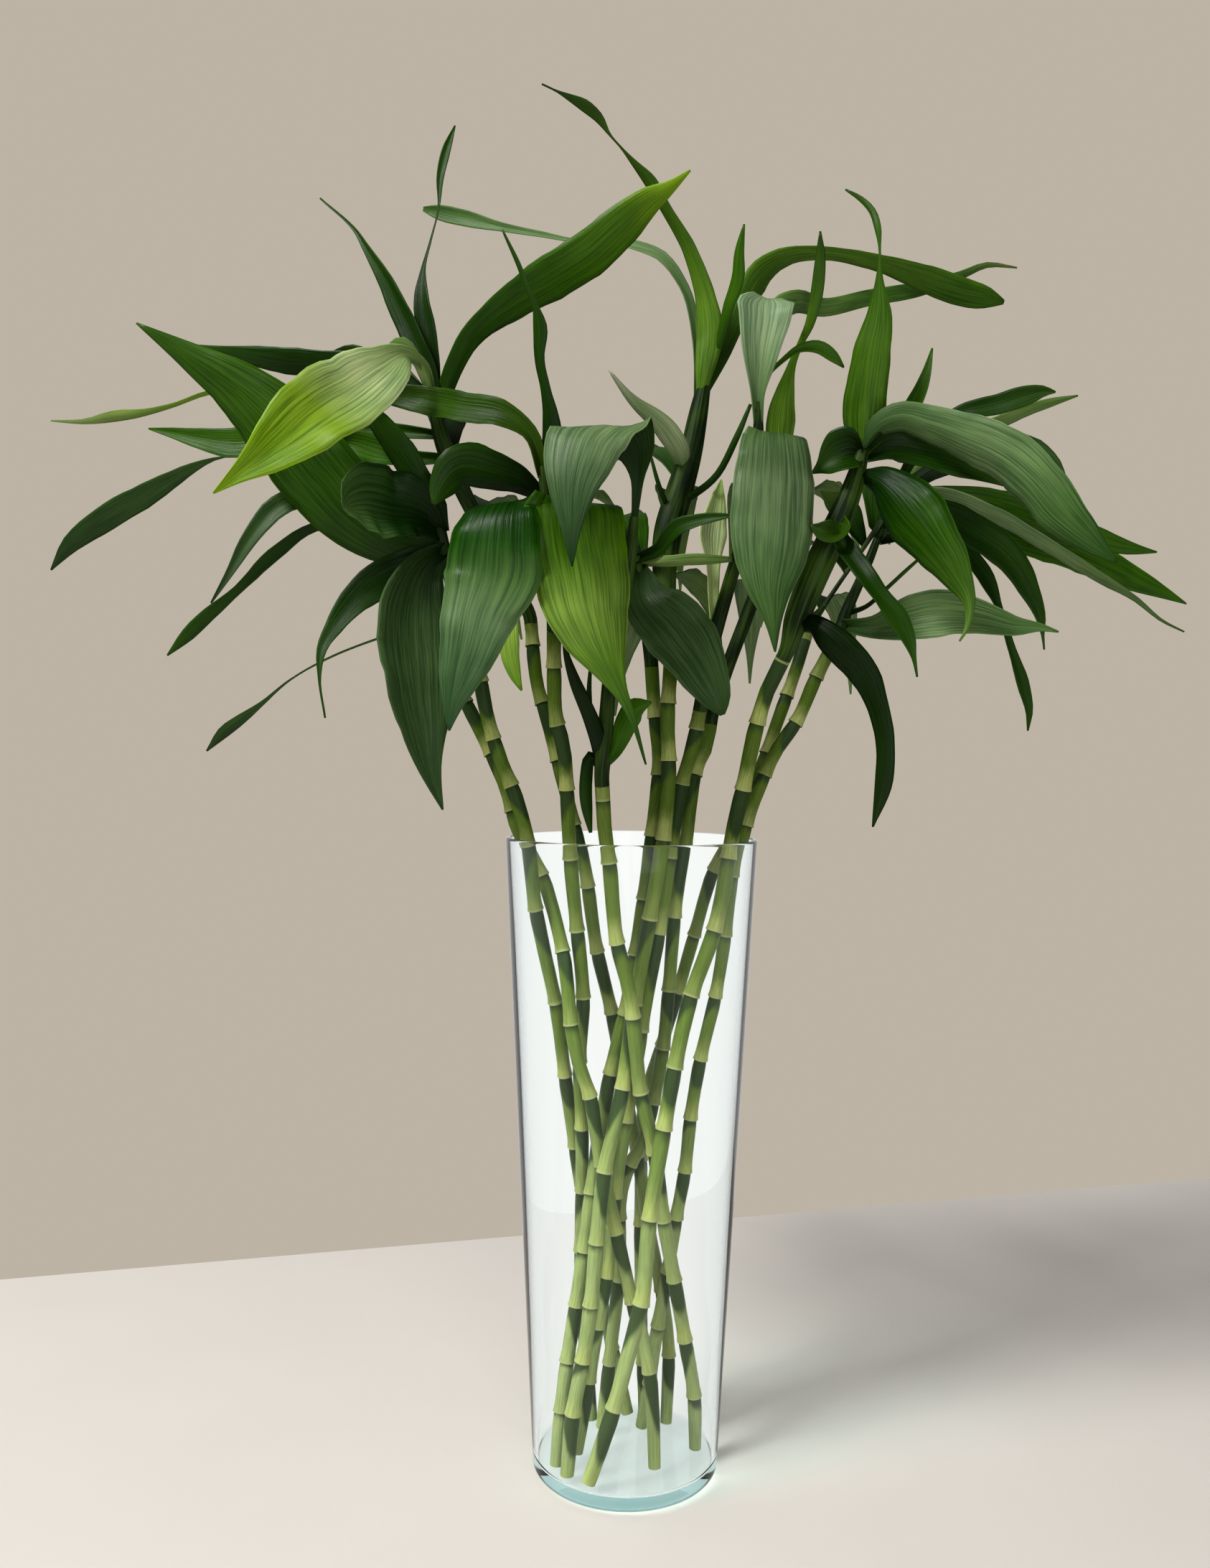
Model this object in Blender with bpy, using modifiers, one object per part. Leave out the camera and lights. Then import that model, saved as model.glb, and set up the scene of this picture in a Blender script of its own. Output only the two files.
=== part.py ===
"""Potted bamboo: twelve ringed canes with leafy tops, standing in a tall clear glass vase."""
from collections import namedtuple
from math import cos, pi, radians, sin

import bmesh
import bpy
import numpy as np
from mathutils import Matrix, Vector

MM = 0.001

# Vase, in metres
VASE_HIGH = 0.400
RIM_RADIUS = 0.079
BASE_RADIUS = 0.0585
BASE_ROUND = 0.007
WALL = 0.0032
FLOOR_TOP = 0.0088
FLOOR_ROUND = 0.005
VASE_SIDES = 48
GAP = 0.0003
MERGE = 0.00001

# Canes and leaves, in metres
RING_RISE = 0.0007
WAIST_DROP = 0.0003
RING_HIGH = 0.0024
COLLAR = 0.003
ROUNDNESS = 1
RIM_CLEAR = 0.012
CORNER_HIGH = 0.05
BLADE_THICK = 0.0008
REAR_STEPS = 6
TIP_BROAD = 0.0014
CREASE = 0.30
HUNG_CREASE = -0.18
EDGE_WAVE = 0.06
REAR_WIDTHS = (0.25, 0.55, 0.85, 1.0, 0.95, 0.75, 0.45, 0.2, 0.05)
DROOP_TURN = 1.6

# Samples along a curve
FINE_STEPS = 400
CANE_SAMPLES = 300
STEM_SAMPLES = 60

# Viewpoint of the photograph, from which the traced points below are read
PHOTO_WIDE = 1686
PHOTO_HIGH = 2184
FOCAL_PX = 1886
EYE = Vector((-0.017, -0.852, 0.451))
EYE_TURN = Matrix.Rotation(radians(90 - 1.18), 3, "X") @ Matrix.Rotation(radians(0.60), 3, "Z")

# A cane: its foot and its route upwards as points of the photograph, the rows of its rings, how far back
# it stands at some rows in millimetres, and its radius in millimetres
Cane = namedtuple("Cane", "foot route rings backs radius")
CANES = (
    Cane((877, 1957),
         ((850, 1870), (832, 1790), (815, 1700), (797, 1580), (786, 1502), (773, 1400),
          (760, 1340), (746, 1270), (733, 1160), (715, 1100), (698, 1060), (685, 1020),
          (675, 980), (668, 940), (655, 905), (640, 860)),
         (1880, 1790, 1700, 1600, 1502, 1400, 1270, 1180, 1095, 1030, 950, 880),
         ((860, -26), (1165, -22), (1270, -12), (1400, 2)), 4.4),
    Cane((912, 2045),
         ((905, 1912), (897, 1870), (885, 1830), (868, 1760), (850, 1680), (833, 1600),
          (822, 1530), (805, 1480), (797, 1440), (786, 1340), (775, 1290), (757, 1230),
          (724, 1165), (702, 1090), (670, 1020), (640, 960)),
         (1912, 1815, 1720, 1625, 1530, 1430, 1330, 1225, 1130, 1050, 980),
         ((960, 14), (1165, 0), (1290, -8), (1345, -15), (1480, -17), (1600, -11), (1800, -14)), 4.3),
    Cane((820, 1975),
         ((812, 1850), (808, 1745), (810, 1662), (810, 1575), (807, 1483), (812, 1393),
          (804, 1300), (798, 1240), (793, 1170), (790, 1100), (785, 1040), (775, 1000),
          (772, 940), (772, 880)),
         (1920, 1835, 1745, 1662, 1575, 1483, 1393, 1300, 1200, 1100, 1010, 930),
         ((880, -42), (1165, -22)), 4.4),
    Cane((942, 1975),
         ((932, 1870), (920, 1790), (903, 1710), (893, 1640), (872, 1530), (852, 1415),
          (832, 1331), (812, 1200), (800, 1150), (785, 1090), (772, 1040), (762, 1000),
          (750, 960), (740, 870)),
         (1890, 1800, 1710, 1615, 1515, 1415, 1331, 1240, 1150, 1060, 980, 900),
         ((870, 20), (1165, -3), (1530, 22), (1640, 26), (1790, 35)), 4.3),
    Cane((970, 2018),
         ((968, 1945), (955, 1868), (940, 1785), (925, 1702), (912, 1608), (893, 1525),
          (876, 1380), (860, 1317), (849, 1205), (843, 1160), (839, 1095)),
         (1945, 1868, 1785, 1702, 1608, 1525, 1420, 1317, 1205),
         ((955, -50), (1165, -35), (1450, -22)), 4.5),
    Cane((763, 2043),
         ((782, 1965), (790, 1897), (802, 1820), (813, 1745), (835, 1583), (850, 1500),
          (874, 1400), (885, 1335), (897, 1258), (908, 1168), (918, 1050), (912, 990),
          (908, 930)),
         (1965, 1897, 1820, 1745, 1665, 1583, 1500, 1418, 1335, 1258, 1165, 1080, 1000),
         ((930, 12), (1165, 5), (1500, 4), (1600, 1), (1700, -5)), 4.5),
    Cane((783, 2058),
         ((800, 1960), (812, 1897), (823, 1820), (831, 1733), (842, 1635), (865, 1530),
          (884, 1403), (905, 1285), (925, 1165), (932, 1060), (930, 1010), (935, 920)),
         (1970, 1897, 1820, 1733, 1635, 1520, 1403, 1285, 1170, 1060, 980),
         ((920, -12), (1060, -14), (1165, -13), (1300, -9), (1490, -9), (1580, -20), (1635, -22)), 4.6),
    Cane((803, 2025),
         ((820, 1925), (830, 1860), (845, 1780), (860, 1640), (872, 1565), (884, 1500),
          (900, 1400), (918, 1305), (938, 1165), (950, 1092), (965, 1040), (975, 990)),
         (1925, 1850, 1780, 1670, 1565, 1440, 1305, 1200, 1092, 1015),
         ((990, -10), (1092, -2), (1165, -1), (1500, 0), (1700, 1)), 4.4),
    Cane((838, 1990),
         ((862, 1785), (878, 1625), (893, 1600), (910, 1540), (924, 1465), (932, 1385),
          (940, 1283), (957, 1165), (975, 1060), (985, 1040), (990, 1010)),
         (1900, 1785, 1700, 1625, 1540, 1465, 1385, 1283, 1180, 1080),
         ((1010, 22), (1165, 9), (1465, 9), (1640, 12)), 4.3),
    Cane((815, 2072),
         ((855, 1963), (880, 1870), (893, 1818), (905, 1700), (925, 1575), (940, 1490),
          (963, 1390), (995, 1300), (1012, 1220), (1020, 1165), (1035, 1100), (1055, 1008),
          (1070, 960), (1090, 920)),
         (1963, 1818, 1700, 1575, 1490, 1390, 1300, 1200, 1100, 1008),
         ((920, -32), (1165, -14)), 4.8),
    Cane((893, 1990),
         ((905, 1930), (915, 1860), (930, 1780), (943, 1700), (955, 1635), (963, 1562),
          (977, 1480), (998, 1393), (1012, 1308), (1022, 1225), (1037, 1165), (1065, 1080),
          (1085, 1040), (1108, 1008), (1137, 944), (1165, 890)),
         (1930, 1850, 1775, 1700, 1635, 1562, 1480, 1393, 1308, 1225, 1150, 1080, 1008, 944),
         ((890, 5), (1165, 0)), 4.3),
    Cane((900, 1973),
         ((893, 1800), (893, 1660), (900, 1530), (922, 1463), (945, 1388), (968, 1310),
          (1000, 1210), (1028, 1165), (1050, 1100), (1085, 1000), (1110, 930), (1125, 880)),
         (1900, 1800, 1710, 1620, 1530, 1463, 1388, 1310, 1220, 1130, 1050, 970),
         ((880, 45), (1165, 19), (1310, 30), (1463, 38), (1530, 40)), 4.2),
)

# A leafy shoot: its stem above the cane, and its blades from root to tip. A stem's points are across, down,
# back and radius, a blade's are across, down, back and breadth as it shows, the last two in millimetres.
# A hung blade rises, folds over and hangs.
Blade = namedtuple("Blade", "roll points")
Hung = namedtuple("Hung", "roll points")
Rear = namedtuple("Rear", "row heading rise length breadth droop")
Shoot = namedtuple("Shoot", "stem blades rear")
SHOOTS = (
    Shoot(((640, 860, -26, 4.4), (632, 820, -28, 4.6), (622, 780, -30, 4.4), (615, 745, -31, 3.6),
           (612, 715, -31, 2.4)),
          (Blade(28,
                 ((618, 765, -34, 8), (592, 790, -44, 22), (572, 860, -60, 44), (577, 940, -68, 42),
                  (587, 1010, -70, 30), (596, 1062, -70, 16), (617, 1128, -68, 1))),
           Blade(-30,
                 ((620, 742, -32, 10), (590, 718, -40, 28), (545, 708, -52, 40), (505, 700, -66, 42),
                  (488, 704, -72, 28), (479, 710, -76, 8))),
           Blade(12,
                 ((606, 762, -28, 9), (560, 758, -27, 28), (500, 722, -26, 44), (444, 664, -25, 52),
                  (388, 598, -22, 50), (325, 538, -19, 34), (272, 502, -18, 20), (235, 478, -18, 11),
                  (190, 450, -20, 1))),
           Blade(-28,
                 ((618, 765, -30, 8), (575, 790, -38, 23), (515, 822, -50, 21), (468, 872, -62, 11),
                  (449, 905, -70, 6), (445, 942, -76, 2), (453, 1000, -80, 1))),
           Blade(35,
                 ((636, 840, -26, 4), (580, 872, -16, 2), (519, 892, -4, 1.3), (455, 918, 10, 1.2),
                  (400, 950, 22, 1.2), (365, 980, 30, 3), (335, 1003, 36, 7), (312, 1020, 40, 8),
                  (288, 1046, 46, 1)))),
          ()),
    Shoot(((640, 960, 14, 4.3), (622, 900, 18, 4.4), (608, 850, 22, 4.2), (600, 800, 25, 3.8),
           (596, 750, 27, 3.2), (592, 715, 28, 2.2)),
          (Blade(30,
                 ((594, 745, 27, 8), (500, 690, 36, 7), (400, 648, 50, 4), (300, 639, 66, 2),
                  (255, 660, 73, 9), (215, 685, 80, 15), (170, 710, 88, 18), (130, 735, 95, 17),
                  (97, 760, 101, 12), (71, 794, 106, 1))),
           Blade(-28,
                 ((596, 752, 24, 8), (500, 708, 14, 13), (430, 693, 4, 14), (393, 704, 0, 14),
                  (353, 745, -6, 11), (320, 798, -12, 5), (294, 840, -16, 1))),
           Blade(38,
                 ((598, 765, 26, 7), (500, 730, 26, 5), (440, 735, 29, 6), (375, 781, 34, 9),
                  (330, 824, 37, 6), (292, 856, 40, 9), (262, 884, 42, 9), (233, 913, 43, 1)))),
          (Rear(760, 110, 50, 0.2, 0.03, 1.1),
           Rear(820, 70, 40, 0.17, 0.028, 1.2),
           Rear(860, 112, 30, 0.13, 0.024, 1.2))),
    Shoot(((772, 880, -42, 4.4), (768, 820, -45, 4.8), (763, 760, -47, 4.6), (760, 700, -48, 4.2),
           (757, 650, -48, 2.6)),
          (Blade(25,
                 ((764, 665, -48, 8), (768, 605, -48, 12), (759, 540, -48, 6), (751, 500, -49, 6),
                  (751, 450, -51, 8), (746, 428, -52, 4), (733, 398, -54, 3), (727, 380, -55, 3),
                  (700, 320, -60, 1))),
           Blade(-28,
                 ((758, 660, -49, 8), (735, 600, -50, 10), (707, 582, -48, 15), (640, 569, -34, 18),
                  (585, 558, -13, 17), (545, 552, -10, 12), (510, 560, -14, 1))),
           Blade(30,
                 ((758, 690, -50, 8), (720, 672, -58, 18), (680, 660, -66, 24), (640, 655, -74, 26),
                  (612, 685, -78, 12), (604, 702, -80, 2))),
           Hung(-12,
                 ((759, 724, -48, 8), (738, 712, -56, 18), (706, 699, -68, 36), (694, 714, -80, 46),
                  (686, 760, -86, 54), (682, 800, -88, 57), (665, 850, -91, 46), (652, 900, -92, 36),
                  (638, 950, -93, 23), (630, 985, -94, 11), (626, 1018, -94, 1))),
           Hung(12,
                 ((762, 706, -50, 10), (776, 702, -58, 30), (795, 698, -68, 54), (800, 708, -77, 58),
                  (804, 748, -81, 58), (813, 800, -84, 56), (821, 850, -88, 49), (837, 900, -91, 33),
                  (850, 932, -93, 19), (864, 962, -95, 9), (877, 990, -96, 5), (900, 1065, -95, 1))),
           Blade(-40,
                 ((762, 745, -46, 6), (735, 800, -40, 7), (712, 852, -38, 8), (708, 905, -36, 12),
                  (718, 942, -34, 7), (727, 962, -34, 1)))),
          (Rear(740, 60, 50, 0.1, 0.022, 0.9),)),
    Shoot(((740, 870, 20, 4.3), (716, 815, 16, 4.6), (686, 760, 12, 4.8), (655, 705, 8, 5.0),
           (630, 650, 4, 5.4), (612, 600, 2, 5.0), (603, 560, 0, 3.4)),
          (Blade(28,
                 ((630, 684, 6, 8), (594, 679, -3, 15), (556, 630, -6, 18), (522, 582, -8, 12),
                  (500, 556, -8, 2))),
           Blade(-25,
                 ((622, 640, 4, 6), (560, 638, 6, 12), (520, 628, 8, 20), (482, 618, 9, 14),
                  (458, 626, 10, 2))),
           Blade(-28,
                 ((608, 560, -2, 5), (592, 512, -14, 6), (568, 495, -28, 10), (535, 516, -44, 32),
                  (495, 547, -58, 43), (445, 578, -71, 44), (400, 612, -80, 36), (365, 638, -86, 23),
                  (330, 662, -90, 10), (297, 687, -92, 1))),
           Blade(30,
                 ((606, 566, 2, 7), (560, 530, 8, 12), (500, 515, 14, 18), (440, 508, 20, 16),
                  (395, 505, 24, 17), (345, 496, 28, 12), (300, 487, 32, 5), (262, 480, 36, 1))),
           Blade(-35,
                 ((604, 570, 2, 5), (560, 520, 16, 8), (515, 500, 24, 10), (485, 492, 30, 10),
                  (452, 498, 34, 2))),
           Blade(30,
                 ((606, 575, 2, 6), (520, 545, 24, 5), (400, 540, 44, 4), (287, 548, 62, 3),
                  (240, 565, 70, 3), (200, 575, 76, 5), (160, 580, 82, 8), (120, 587, 88, 4),
                  (71, 586, 96, 1))),
           Blade(-28,
                 ((612, 606, 4, 6), (520, 600, 20, 12), (440, 605, 30, 18), (380, 612, 38, 19),
                  (325, 619, 42, 20), (280, 612, 45, 14), (240, 603, 48, 7), (207, 597, 50, 1))),
           Blade(25,
                 ((608, 570, 0, 7), (600, 528, 3, 12), (579, 478, 8, 14), (557, 430, 14, 13),
                  (532, 380, 20, 9), (510, 345, 26, 5), (498, 325, 30, 3), (446, 276, 40, 1))),
           Blade(-30,
                 ((606, 565, -2, 5), (585, 505, -18, 7), (560, 478, -24, 9), (535, 492, -28, 3))),
           Blade(28,
                 ((612, 572, 2, 7), (602, 520, 9, 12), (595, 460, 13, 13), (588, 410, 17, 9),
                  (590, 375, 21, 3), (600, 335, 26, 1.3), (611, 290, 31, 1.3), (614, 245, 35, 5),
                  (621, 212, 38, 6), (634, 175, 42, 1))),
           Blade(-25,
                 ((616, 588, 2, 8), (632, 515, -3, 12), (655, 473, -8, 14), (710, 428, -20, 21),
                  (765, 394, -32, 27), (825, 355, -44, 27), (868, 315, -52, 24), (905, 280, -58, 16),
                  (932, 262, -62, 8), (962, 237, -66, 1)))),
          (Rear(640, 98, 48, 0.2, 0.032, 1.1),
           Rear(720, 80, 30, 0.16, 0.028, 1.1))),
    Shoot(((839, 1095, -44, 4.5), (841, 1050, -46, 5.0), (845, 1005, -48, 4.6), (848, 955, -50, 4.4),
           (858, 900, -52, 4.6), (868, 840, -54, 4.4), (877, 780, -56, 3.8), (884, 720, -58, 2.6)),
          (Hung(0,
                 ((885, 760, -58, 4), (886, 700, -59, 5), (888, 660, -60, 10), (884, 626, -63, 26),
                  (866, 602, -68, 44), (842, 592, -80, 48), (819, 602, -92, 46), (806, 636, -98, 41),
                  (798, 680, -102, 28), (796, 730, -105, 13), (797, 789, -107, 1))),
           Blade(28,
                 ((846, 1072, -45, 5), (858, 1042, -54, 8), (869, 1008, -60, 14), (884, 986, -63, 13),
                  (908, 978, -64, 1))),
           Blade(15,
                 ((842, 1075, -46, 9), (832, 1030, -53, 10), (818, 990, -56, 9), (801, 950, -58, 7),
                  (790, 915, -60, 4), (784, 885, -61, 1))),
           Blade(-10,
                 ((841, 1048, -46, 4), (824, 1005, -50, 3.5), (821, 970, -50, 3.2), (824, 912, -50, 1))),
           Blade(10,
                 ((840, 1072, -45, 7), (824, 1054, -38, 7), (817, 1088, -34, 8), (818, 1125, -31, 7),
                  (823, 1160, -30, 2)))),
          ()),
    Shoot(((908, 930, 12, 4.5), (903, 880, 8, 4.6), (896, 830, 3, 4.4), (890, 790, -2, 3.6),
           (886, 760, -5, 2.4)),
          (Blade(25,
                 ((888, 795, -6, 8), (900, 838, -24, 30), (935, 878, -34, 42), (968, 922, -40, 36),
                  (988, 955, -43, 26), (1002, 982, -44, 14), (1007, 996, -44, 3))),
           Blade(-30,
                 ((888, 785, -4, 6), (930, 783, -22, 7), (975, 780, -33, 7), (1020, 779, -42, 3))),
           Blade(35,
                 ((888, 778, -4, 6), (920, 765, -18, 8), (942, 738, -26, 10), (968, 727, -32, 8),
                  (1000, 720, -38, 5), (1024, 718, -42, 1)))),
          (Rear(800, 100, 50, 0.2, 0.03, 1.1),
           Rear(840, 62, 38, 0.15, 0.026, 1.2),
           Rear(880, 100, 20, 0.14, 0.024, 1.1))),
    Shoot(((935, 920, -12, 4.6), (930, 860, -8, 6.0), (926, 800, -3, 7.5), (931, 740, 2, 9.0),
           (948, 680, 6, 8.5), (965, 620, 8, 7.0), (976, 560, 10, 5.5), (985, 515, 10, 3.4)),
          (Blade(25,
                 ((975, 578, 8, 5), (977, 545, 6, 7), (981, 515, 4, 12), (986, 485, 4, 16),
                  (987, 455, 5, 17), (980, 410, 6, 13), (957, 343, 3, 9), (924, 286, -4, 7),
                  (905, 253, -8, 8), (884, 228, -12, 4), (865, 205, -16, 1.3), (850, 188, -19, 1.5),
                  (833, 163, -22, 6), (814, 147, -26, 7), (794, 136, -29, 4), (776, 127, -32, 1.3),
                  (755, 117, -36, 1))),
           Blade(-35,
                 ((976, 570, 12, 7), (970, 470, 22, 6), (955, 405, 30, 6), (920, 357, 38, 7),
                  (880, 341, 46, 6), (805, 336, 62, 2.5), (750, 326, 70, 4), (700, 317, 78, 6),
                  (645, 304, 88, 11), (612, 296, 93, 10), (590, 291, 97, 3))),
           Blade(35,
                 ((988, 530, 8, 6), (1003, 470, 2, 6), (1013, 430, -4, 7), (1027, 385, -10, 8),
                  (1030, 350, -15, 6), (1037, 312, -20, 1))),
           Blade(-28,
                 ((984, 550, 12, 7), (1010, 490, 18, 9), (1038, 425, 24, 12), (1060, 385, 30, 18),
                  (1090, 362, 38, 13), (1140, 354, 50, 9), (1200, 362, 62, 10), (1245, 374, 70, 13),
                  (1290, 390, 78, 18), (1345, 409, 86, 19), (1378, 416, 91, 14), (1399, 421, 94, 3))),
           Blade(25,
                 ((958, 660, 2, 7), (945, 630, -10, 14), (920, 592, -24, 13), (880, 556, -36, 6),
                  (848, 515, -46, 1))),
           Blade(10,
                 ((970, 712, 2, 5), (1000, 660, -14, 4.2), (1025, 612, -20, 4), (1046, 563, -22, 2))),
           Blade(-10,
                 ((930, 712, 0, 3), (917, 672, -10, 2.6), (906, 632, -14, 1.5)))),
          (Rear(720, 85, 35, 0.19, 0.03, 1.1),
           Rear(680, 118, 45, 0.19, 0.028, 1.2))),
    Shoot(((975, 990, -10, 4.4), (985, 930, -15, 4.4), (1000, 870, -18, 4.4), (1020, 800, -22, 4.2),
           (1040, 730, -26, 4.0), (1052, 660, -29, 3.8), (1057, 600, -31, 3.4), (1057, 560, -32, 2.4)),
          (Hung(8,
                 ((1057, 645, -31, 7), (1065, 614, -34, 24), (1078, 603, -42, 35),
                  (1080, 612, -53, 40), (1081, 660, -60, 48), (1079, 705, -63, 50),
                  (1076, 760, -66, 47), (1073, 815, -70, 30), (1077, 860, -72, 12), (1080, 908, -73, 1))),
           Blade(0,
                 ((1057, 590, -33, 6), (1056, 548, -34, 9), (1059, 508, -36, 19), (1062, 472, -37, 27),
                  (1066, 440, -36, 33), (1067, 426, -34, 34), (1069, 416, -31, 18))),
           Blade(30,
                 ((1057, 575, -31, 5), (1068, 525, -28, 3), (1090, 503, -26, 3), (1115, 486, -24, 5),
                  (1140, 484, -23, 8), (1160, 496, -22, 7), (1176, 512, -21, 1))),
           Blade(-30,
                 ((997, 885, -17, 6), (993, 830, -14, 7), (992, 780, -10, 10), (990, 745, -8, 18),
                  (998, 705, -6, 12), (1005, 668, -4, 1))),
           Blade(0,
                 ((1058, 585, -29, 4), (1061, 525, -25, 5), (1069, 468, -22, 8), (1084, 434, -18, 14),
                  (1106, 421, 0, 15), (1150, 428, 38, 12), (1210, 415, 72, 11), (1290, 400, 104, 10),
                  (1340, 383, 116, 6), (1376, 369, 122, 4), (1417, 373, 126, 1)))),
          ()),
    Shoot(((990, 1010, 22, 4.3), (1010, 940, 25, 4.4), (1040, 860, 28, 4.4), (1068, 780, 30, 4.2),
           (1083, 700, 30, 3.8), (1086, 640, 30, 2.8)),
          (Blade(25,
                 ((1085, 660, 30, 8), (1084, 612, 26, 18), (1086, 582, 22, 19), (1092, 548, 17, 13),
                  (1101, 514, 11, 6), (1112, 485, 5, 4), (1128, 450, -1, 6), (1139, 398, -5, 8),
                  (1143, 355, -7, 6), (1143, 322, -9, 1))),),
          (Rear(760, 60, 50, 0.2, 0.034, 1.1),
           Rear(740, 94, 45, 0.2, 0.032, 1.2),
           Rear(830, 85, 25, 0.15, 0.026, 1.2))),
    Shoot(((1090, 920, -32, 4.8), (1107, 870, -34, 7.4), (1135, 800, -36, 8.8), (1166, 733, -38, 8.2),
           (1190, 673, -40, 6.0), (1204, 622, -40, 3.6)),
          (Blade(22,
                 ((1202, 632, -40, 10), (1201, 580, -42, 26), (1206, 530, -44, 25),
                  (1212, 490, -45, 23), (1222, 440, -46, 16), (1225, 385, -46, 4),
                  (1226, 350, -46, 1.3), (1223, 318, -45, 4), (1214, 292, -41, 4), (1198, 276, -37, 3),
                  (1178, 264, -34, 1))),
           Blade(-28,
                 ((1203, 632, -42, 8), (1225, 594, -46, 14), (1250, 583, -50, 18),
                  (1292, 592, -57, 21), (1345, 613, -68, 27), (1395, 636, -80, 30),
                  (1437, 670, -90, 29), (1474, 712, -98, 26), (1518, 752, -106, 15),
                  (1557, 784, -112, 1))),
           Blade(30,
                 ((1202, 640, -38, 8), (1245, 622, -38, 22), (1290, 630, -40, 22),
                  (1340, 645, -42, 20), (1385, 664, -44, 9), (1412, 680, -45, 1))),
           Blade(-30,
                 ((1204, 634, -38, 8), (1191, 633, -40, 23), (1173, 638, -41, 27),
                  (1156, 645, -40, 19), (1143, 652, -38, 8), (1131, 659, -36, 1))),
           Blade(35,
                 ((1203, 632, -38, 6), (1245, 592, -34, 8), (1272, 568, -30, 10), (1288, 530, -27, 7),
                  (1299, 485, -25, 1))),
           Blade(-25,
                 ((1196, 660, -42, 8), (1225, 672, -56, 22), (1262, 712, -70, 37),
                  (1295, 752, -80, 31), (1330, 800, -87, 19), (1350, 840, -91, 7), (1345, 880, -93, 2),
                  (1337, 893, -94, 1))),
           Blade(28,
                 ((1166, 740, -42, 8), (1186, 775, -58, 12), (1208, 805, -70, 11),
                  (1230, 835, -76, 10), (1250, 862, -81, 12), (1266, 892, -85, 8), (1273, 915, -88, 3),
                  (1278, 943, -90, 1))),
           Blade(-20,
                 ((1108, 870, -34, 10), (1134, 872, -50, 14), (1166, 900, -58, 20),
                  (1201, 938, -62, 18), (1222, 985, -65, 13), (1233, 1045, -69, 11),
                  (1230, 1095, -71, 10), (1216, 1152, -72, 1))),
           Blade(-25,
                 ((1180, 724, -42, 5), (1173, 736, -52, 9), (1158, 742, -58, 13),
                  (1145, 739, -60, 12), (1136, 735, -60, 6), (1130, 731, -60, 1)))),
          ()),
    Shoot(((1165, 890, 5, 4.3), (1180, 850, 8, 3.7), (1198, 810, 10, 3.2), (1215, 770, 12, 2.8),
           (1228, 735, 14, 2.2)),
          (Blade(25,
                 ((1176, 872, 4, 8), (1215, 875, -4, 14), (1260, 866, -14, 26), (1310, 858, -24, 30),
                  (1365, 862, -34, 21), (1415, 873, -42, 12), (1450, 874, -48, 5), (1475, 880, -54, 1))),
           Blade(30,
                 ((1224, 750, 13, 6), (1262, 708, 12, 10), (1312, 715, 8, 16), (1355, 742, 4, 21),
                  (1402, 776, 0, 19), (1432, 820, -3, 13), (1450, 862, -5, 6), (1453, 885, -6, 2),
                  (1455, 905, -6, 1))),
           Blade(-35,
                 ((1226, 745, 14, 6), (1258, 695, 24, 8), (1300, 688, 32, 9), (1380, 716, 44, 10),
                  (1460, 762, 56, 9), (1540, 810, 68, 7), (1580, 833, 75, 4), (1620, 865, 82, 2),
                  (1650, 880, 88, 1))),
           Blade(35,
                 ((1224, 755, 13, 6), (1300, 745, 30, 8), (1350, 775, 38, 10), (1372, 805, 42, 11),
                  (1389, 840, 45, 5), (1407, 897, 48, 5), (1427, 960, 51, 8), (1434, 990, 52, 5),
                  (1432, 1018, 54, 1))),
           Blade(10,
                 ((1184, 856, 7, 4), (1205, 846, 7, 2.8), (1235, 820, 9, 2.5), (1262, 795, 12, 2.3),
                  (1290, 770, 15, 1.5)))),
          ()),
    Shoot(((1125, 880, 45, 4.2), (1140, 856, 47, 2.4), (1160, 826, 50, 1.6), (1187, 787, 54, 1.5),
           (1215, 745, 58, 1.8), (1240, 705, 61, 2.0), (1250, 680, 62, 1.8)),
          (Blade(30,
                 ((1244, 690, 61, 6), (1300, 705, 74, 9), (1360, 725, 84, 14), (1425, 748, 94, 20),
                  (1500, 766, 106, 25), (1560, 795, 116, 22), (1605, 817, 124, 13), (1653, 841, 134, 1))),
           Blade(-30,
                 ((1246, 686, 61, 5), (1330, 692, 62, 14), (1400, 712, 62, 24), (1470, 738, 64, 24),
                  (1540, 756, 68, 15), (1580, 765, 71, 8), (1612, 769, 74, 1))),
           Blade(30,
                 ((1248, 686, 60, 6), (1275, 635, 50, 8), (1305, 600, 43, 10), (1344, 575, 36, 11),
                  (1385, 566, 30, 13), (1430, 552, 24, 13), (1455, 545, 21, 7), (1471, 546, 18, 1))),
           Blade(-35,
                 ((1249, 684, 62, 6), (1290, 640, 66, 8), (1340, 608, 73, 9), (1390, 590, 80, 9),
                  (1440, 569, 88, 8), (1475, 558, 93, 5), (1502, 551, 98, 1))),
           Blade(20,
                 ((1248, 688, 61, 7), (1310, 650, 58, 14), (1370, 625, 57, 22), (1420, 625, 57, 24),
                  (1460, 648, 58, 18), (1488, 680, 60, 3))),
           Blade(25,
                 ((1204, 762, 57, 4), (1192, 738, 56, 12), (1178, 716, 54, 18), (1163, 700, 52, 15),
                  (1151, 690, 50, 6), (1144, 684, 50, 1)))),
          (Rear(740, 75, 50, 0.2, 0.03, 1.1),
           Rear(800, 105, 40, 0.18, 0.028, 1.2),
           Rear(850, 70, 25, 0.15, 0.024, 1.2))),
)

CANE_TONE = (0.30, 0.40, 0.12)
TONES = ((0.10, 0.21, 0.03), (0.13, 0.24, 0.05), (0.17, 0.30, 0.06))


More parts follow.
